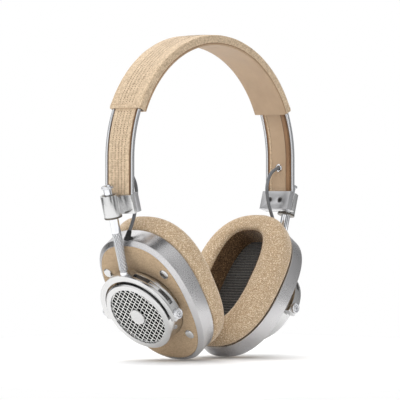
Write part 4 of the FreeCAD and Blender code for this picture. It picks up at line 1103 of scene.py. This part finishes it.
def blowUp(piece, spec, pinnedBelow):
    # pressure swells the ring; every point moves at most the cap, and the seat stays put
    rest = [vertex.co.copy() for vertex in piece.data.vertices]
    group = piece.vertex_groups.new(name="seat")
    group.add([index for index, spot in enumerate(rest) if pinnedBelow(spot)], 1.0, "REPLACE")
    cloth = piece.modifiers.new("cloth", "CLOTH")
    cloth.settings.vertex_group_mass = "seat"
    cloth.settings.use_pressure = True
    cloth.settings.uniform_pressure_force = spec["pressure"]
    cloth.settings.effector_weights.gravity = 0.0
    cloth.settings.mass = 0.05
    cloth.settings.tension_stiffness = cloth.settings.compression_stiffness = 6.0
    cloth.settings.bending_stiffness = 0.4
    cloth.point_cache.frame_start, cloth.point_cache.frame_end = 1, spec["frames"]
    for step in range(1, spec["frames"] + 1):
        scene.frame_set(step)
    depsgraph = bpy.context.evaluated_depsgraph_get()
    blown = [vertex.co.copy() for vertex in piece.evaluated_get(depsgraph).data.vertices]
    piece.modifiers.remove(cloth)
    scene.frame_set(1)
    for vertex, start, end in zip(piece.data.vertices, rest, blown):
        move = end - start
        if move.length > spec["cap"]:
            move = move.normalized() * spec["cap"]
        vertex.co = start + move


def heldStill(spot):
    # the seat and the inside up to the crease
    wide = cup["halfWidth"] + cushion["crease"] + 0.9
    tall = (cup["halfHeight"] + cushion["crease"]) * 1.167 + 0.9
    across, along = abs(spot.x * 1000) / wide, abs(spot.y * 1000 - cup["rise"]) / tall
    return across ** cup["power"] + along ** cup["power"] < 1 or spot.z > cushion["pinned"] * 0.001


def cushionMesh():
    # made once, in the cup's own frame in metres
    mesh = cushionRing(cushionProfile(), rowFrame, 200)
    piece = bpy.data.objects.new("cushionShape", mesh)
    scene.collection.objects.link(piece)
    work = bmesh.new()
    work.from_mesh(mesh)
    bmesh.ops.remove_doubles(work, verts=work.verts, dist=1e-6)
    bmesh.ops.recalc_face_normals(work, faces=work.faces)
    work.to_mesh(mesh)
    work.free()
    remesh = piece.modifiers.new("remesh", "REMESH")
    remesh.mode, remesh.voxel_size = "VOXEL", cushion["voxel"]
    mesh = bakedMesh(piece)
    piece = bpy.data.objects.new("cushionShape", mesh)
    scene.collection.objects.link(piece)
    blowUp(piece, cushion, heldStill)
    smooth = piece.modifiers.new("smooth", "SMOOTH")
    smooth.factor, smooth.iterations = 0.5, 3
    rounder = piece.modifiers.new("rounder", "SUBSURF")
    rounder.levels = rounder.render_levels = 1
    return bakedMesh(piece)


def makeCushions():
    shared = cushionMesh()
    toMillimetres = Matrix.Scale(1000, 4)
    for name, sign in sides:
        mesh = shared.copy()
        mesh.transform(cupFrames[name] @ toMillimetres)
        piece = addPiece(name + "Cushion", mesh, "cushionSuede", name + "_cup",
                         (name + "_cushion",), merge=False, sharp=180)
        line = rounded([(-13.4, -21.1, 0), (-13.0, -25.0, 2.0), (-12.2, -30.0, 1.5), (-11.8, -33.4, 0)],
                       5, False)
        section = [(grow, level, 0.6) for grow, level in line]
        section += [(grow, level, 0.2) for grow, level in line[::-1]]
        mesh = cushionRing(section, cupFrames[name], 200)
        # the inner wall's darker suede is partly painted shade inside the opening
        addPiece(name + "InnerWall", mesh, "wallSuede", name + "_cup", sharp=60)


makeCushions()
print("cushions made")

# Ribbed cloth in front of the driver

baffle = {"grow": -13.7, "level": -21.5, "pitch": 1.9, "depth": 0.75, "thick": 0.35}


def makeBaffleCloth(name, spec):
    wide = cup["halfWidth"] + spec["grow"]
    tall = (cup["halfHeight"] + spec["grow"]) * (1 + cushion["stretch"])
    steps = int(2 * tall / spec["pitch"] * 10)
    front, rear = [], []
    for step in range(steps + 1):
        along = -tall + 2 * tall * step / steps
        half = wide * max(0.0, 1 - abs(along / tall) ** cup["power"]) ** (1 / cup["power"]) + 0.02
        rib = spec["depth"] * (1 - abs(math.sin(math.pi * along / spec["pitch"])) ** 0.7)
        wobble = 0.05 * noise.noise(Vector((along * 0.8, 0, 1)))
        line = [(half * (2 * spot / 24 - 1), along + cup["rise"],
                 spec["level"] + rib + wobble * math.sin(spot * 0.8)) for spot in range(25)]
        front.append(line)
        rear.append([(x, y, spec["level"] + spec["depth"] + spec["thick"]) for x, y, _ in line][::-1])
    rows = [ahead + behind for ahead, behind in zip(front, rear)]
    mesh = gridMesh(rows, cupFrames[name])
    capEnds(mesh, len(rows[0]), len(rows))
    addPiece(name + "BaffleCloth", mesh, "baffleCloth", name + "_cup",
             (name + "_baffle_cloth",), sharp=80)


for name, sign in sides:
    makeBaffleCloth(name, baffle)
print("baffle cloths made")

# Leads and their strain reliefs

lead = {"radius": 1.0, "facets": 16, "breaks": (0.0, 0.42, 0.7, 1.0),
        "bow": ((-0.9, 0.0, 0.0), (6.1, 0.1, 0.8), (12.1, 0.6, 9.5), (11.7, 1.0, 19.4)),
        "straight": 8.7}
relief = {"across": 2.0, "foot": 43.2, "level": -12.5, "boss": 2.3, "nose": 3.9, "lean": 62.35,
          "rootRadius": 2.2, "tipRadius": 1.35}


def reliefPose(sign):
    hand = -sign
    aim = Vector((0, math.cos(math.radians(relief["lean"])), -math.sin(math.radians(relief["lean"]))))
    foot = Vector((hand * relief["across"], relief["foot"], relief["level"]))
    return foot, foot + Vector((0, relief["boss"] / 2, 0)), aim


def makeRelief(name, sign):
    foot, middle, aim = reliefPose(sign)
    centres, radii, count = [], [], 44
    tip = middle + aim * relief["nose"]
    for step in range(count + 1):
        share = step / count
        centres.append(foot * (1 - share) ** 2 + middle * 2 * share * (1 - share) + tip * share ** 2)
        collar = relief["rootRadius"] if share < 0.3 else relief["rootRadius"] - 0.35
        taper = collar + (relief["tipRadius"] - collar) * max(0.0, share - 0.3) / 0.7
        radii.append(taper - (0.17 if share > 0.36 and step % 6 in (0, 1) else 0.0))
    radii[0], radii[-1] = relief["rootRadius"], relief["tipRadius"] - 0.12
    radii[1:8] = [relief["rootRadius"] + 0.6 * math.sin(math.pi * step / 8) for step in range(1, 8)]
    rows = tubeRows(centres, radii, 32, Vector((0.9, 0.3, 0.1)))
    mesh = capEnds(gridMesh(rows, cupFrames[name]), 32, count + 1)
    addPiece(name + "Relief", mesh, "softRubber", name + "_cup",
             (name + "_strain_relief",), sharp=40)


def tubeRows(centres, radii, facets, hint):
    rows = []
    for index, centre in enumerate(centres):
        before, after = centres[max(0, index - 1)], centres[min(len(centres) - 1, index + 1)]
        tangent = (after - before).normalized()
        side = tangent.cross(hint).normalized()
        other = tangent.cross(side)
        rows.append([centre + side * x + other * y for x, y in circle(radii[index], facets)])
    return rows


def smoothLine(points, resolution=14):
    # the route's own smooth line: NURBS of order 3 through its ends
    curve = bpy.data.curves.new("route", "CURVE")
    curve.dimensions = "3D"
    spline = curve.splines.new("NURBS")
    spline.points.add(len(points) - 1)
    for spot, point in zip(spline.points, points):
        spot.co = (point.x, point.y, point.z, 1.0)
    spline.order_u, spline.use_endpoint_u = 3, True
    curve.resolution_u = spline.resolution_u = resolution
    holder = bpy.data.objects.new("route", curve)
    scene.collection.objects.link(holder)
    return [vertex.co.copy() for vertex in bakedMesh(holder).vertices]


def makeLead(name, sign):
    middle, aim = reliefPose(sign)[1:]
    cupToRow = Matrix.Scale(1000, 4) @ cupFrames[name]
    tip = middle + aim * (relief["nose"] - 0.6)
    top = Vector((sign * eyelet["out"], 0, eyelet["level"]))
    route = [top + Vector((-sign * inward, -front, -drop)) for inward, front, drop in lead["bow"]]
    route += [cupToRow @ (tip + aim * lead["straight"]), cupToRow @ tip]
    line = smoothLine(route)
    count = len(line) - 1
    tube = tubeRows(line, [lead["radius"]] * len(line), lead["facets"], Vector((0.2, 1.0, 0.1)))
    for part in range(3):
        first, last = round(lead["breaks"][part] * count), round(lead["breaks"][part + 1] * count)
        rows = tube[first:last + 1]
        label = "%sLead%d" % (name, part + 1)
        mesh = capEnds(gridMesh(rows, rowFrame), lead["facets"], len(rows))
        piece = addPiece(label, mesh, "leadJacket", None, (name + "_lead",) if part == 0 else ())
        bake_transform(piece)


for name, sign in sides:
    makeRelief(name, sign)
    makeLead(name, sign)
print("leads made")

# CAD parts that keep their own shape

carried = {"headband_padding": "padFoam", "headband_cable": "leadJacket", "baffle": "blackPlastic",
           "driver_basket": "blackPlastic", "driver_magnet": "magnetSteel", "diaphragm": "blackPlastic",
           "battery": "foilWrap", "circuit_board": "circuitBoard"}
for node, thing in nodes.items():
    if thing.hide_render:
        continue
    short = node.split("_", 1)[1] if node.startswith(("left_", "right_")) else node
    thing.data.materials.clear()
    thing.data.materials.append(finishes[carried[short]])
print("carried parts painted")

# Floor, lights and the light room round them

studio = {"floorDrop": 0.0005, "floorSize": 0.26, "rise": (0.35, 0.7),
          "suns": (("key", (-0.8, -0.9, 1.1), 0.75, 40), ("top", (0.25, 0.3, 1.0), 1.3, 70)),
          "bands": ((0, 0.3), (30, 0.45), (62, 0.9), (86, 0.7), (104, 0.2), (117, 0.06), (128, 0.3),
                    (140, 1.1), (190, 1.3),
                    (219, 1.1), (231, 0.08), (243, 0.05), (252, 1.0), (262, 0.8), (270, 0.1), (279, 0.1),
                    (291, 0.6), (304, 0.7), (319, 0.45), (338, 0.4), (360, 0.3))}


def softEdge(tree, value, middle, width):
    return addNode(tree, "ShaderNodeMapRange", {0: value, 1: middle - width, 2: middle + width},
                   interpolation_type="SMOOTHSTEP").outputs[0]


def roomGlow(tree, spec):
    # bright and dark panels round the object, with a half-dark ceiling
    way = addNode(tree, "ShaderNodeTexCoord").outputs["Generated"]
    parts = separated(tree, way)
    turn = calc(tree, "DIVIDE", calc(tree, "ARCTAN2", parts[1], parts[0]), 2 * math.pi)
    ramp = addNode(tree, "ShaderNodeValToRGB", {0: calc(tree, "FRACT", calc(tree, "ADD", turn, 1.0))})
    ramp.color_ramp.interpolation = "EASE"
    stops = ramp.color_ramp.elements
    for angle, level in spec["bands"][1:-1]:
        stops.new(angle / 360).color = (level / 2, level / 2, level / 2, 1)
    for stop, (angle, level) in ((stops[0], spec["bands"][0]), (stops[len(stops) - 1], spec["bands"][-1])):
        stop.color = (level / 2, level / 2, level / 2, 1)
    walls = calc(tree, "MULTIPLY", ramp.outputs[0], 2.0)
    rear = softEdge(tree, parts[1], -0.06, 0.09)
    front = softEdge(tree, parts[1], -0.42, 0.08)
    ceiling = calc(tree, "MULTIPLY_ADD", rear, 1.5, 0.06)
    ceiling = calc(tree, "MAXIMUM", ceiling, calc(tree, "MULTIPLY", calc(tree, "SUBTRACT", 1.0, front), 0.95))
    above = addNode(tree, "ShaderNodeMapRange", {0: parts[2], 1: spec["rise"][0],
                                                 2: spec["rise"][1]}).outputs[0]
    return calc(tree, "MULTIPLY_ADD", above, calc(tree, "SUBTRACT", ceiling, walls), walls)


def makeStudio(spec):
    mesh = bpy.data.meshes.new("floor")
    half, level = spec["floorSize"], cadLow.z - spec["floorDrop"]
    mesh.from_pydata([(-half, -half, level), (half, -half, level), (half, half, level), (-half, half, level)],
                     [], [(0, 1, 2, 3)])
    material, tree, shader = startFinish("paleFloor", {"Roughness": 0.9, "Specular IOR Level": 0.0})
    place = objectSpace(tree)
    finishWith(tree, shader, mixTone(tree, noiseOf(tree, place, 3.0), (0.93, 0.93, 0.93, 1),
                                     (0.96, 0.96, 0.96, 1)))
    mesh.materials.append(material)
    floor = bpy.data.objects.new("floor", mesh)
    scene.collection.objects.link(floor)
    for name, way, strength, spreadAngle in spec["suns"]:
        data = bpy.data.lights.new(name, "SUN")
        data.energy, data.angle = strength, math.radians(spreadAngle)
        lamp = bpy.data.objects.new(name, data)
        lamp.rotation_euler = Vector(way).to_track_quat("Z", "Y").to_euler()
        lamp.visible_glossy = False
        scene.collection.objects.link(lamp)
    world = bpy.data.worlds.new("lightRoom")
    world.use_nodes = True
    scene.world = world
    tree = world.node_tree
    tree.nodes.clear()
    white = (1, 1, 1, 1)
    room = addNode(tree, "ShaderNodeBackground", {0: white, 1: roomGlow(tree, spec)}).outputs[0]
    plain = addNode(tree, "ShaderNodeBackground", {0: white, 1: 1.0}).outputs[0]
    direct = addNode(tree, "ShaderNodeLightPath").outputs["Is Camera Ray"]
    seen = addNode(tree, "ShaderNodeMixShader", {0: direct, 1: room, 2: plain}).outputs[0]
    addNode(tree, "ShaderNodeOutputWorld", {0: seen})
    scene.view_settings.view_transform = "Standard"


makeStudio(studio)
print("studio made")
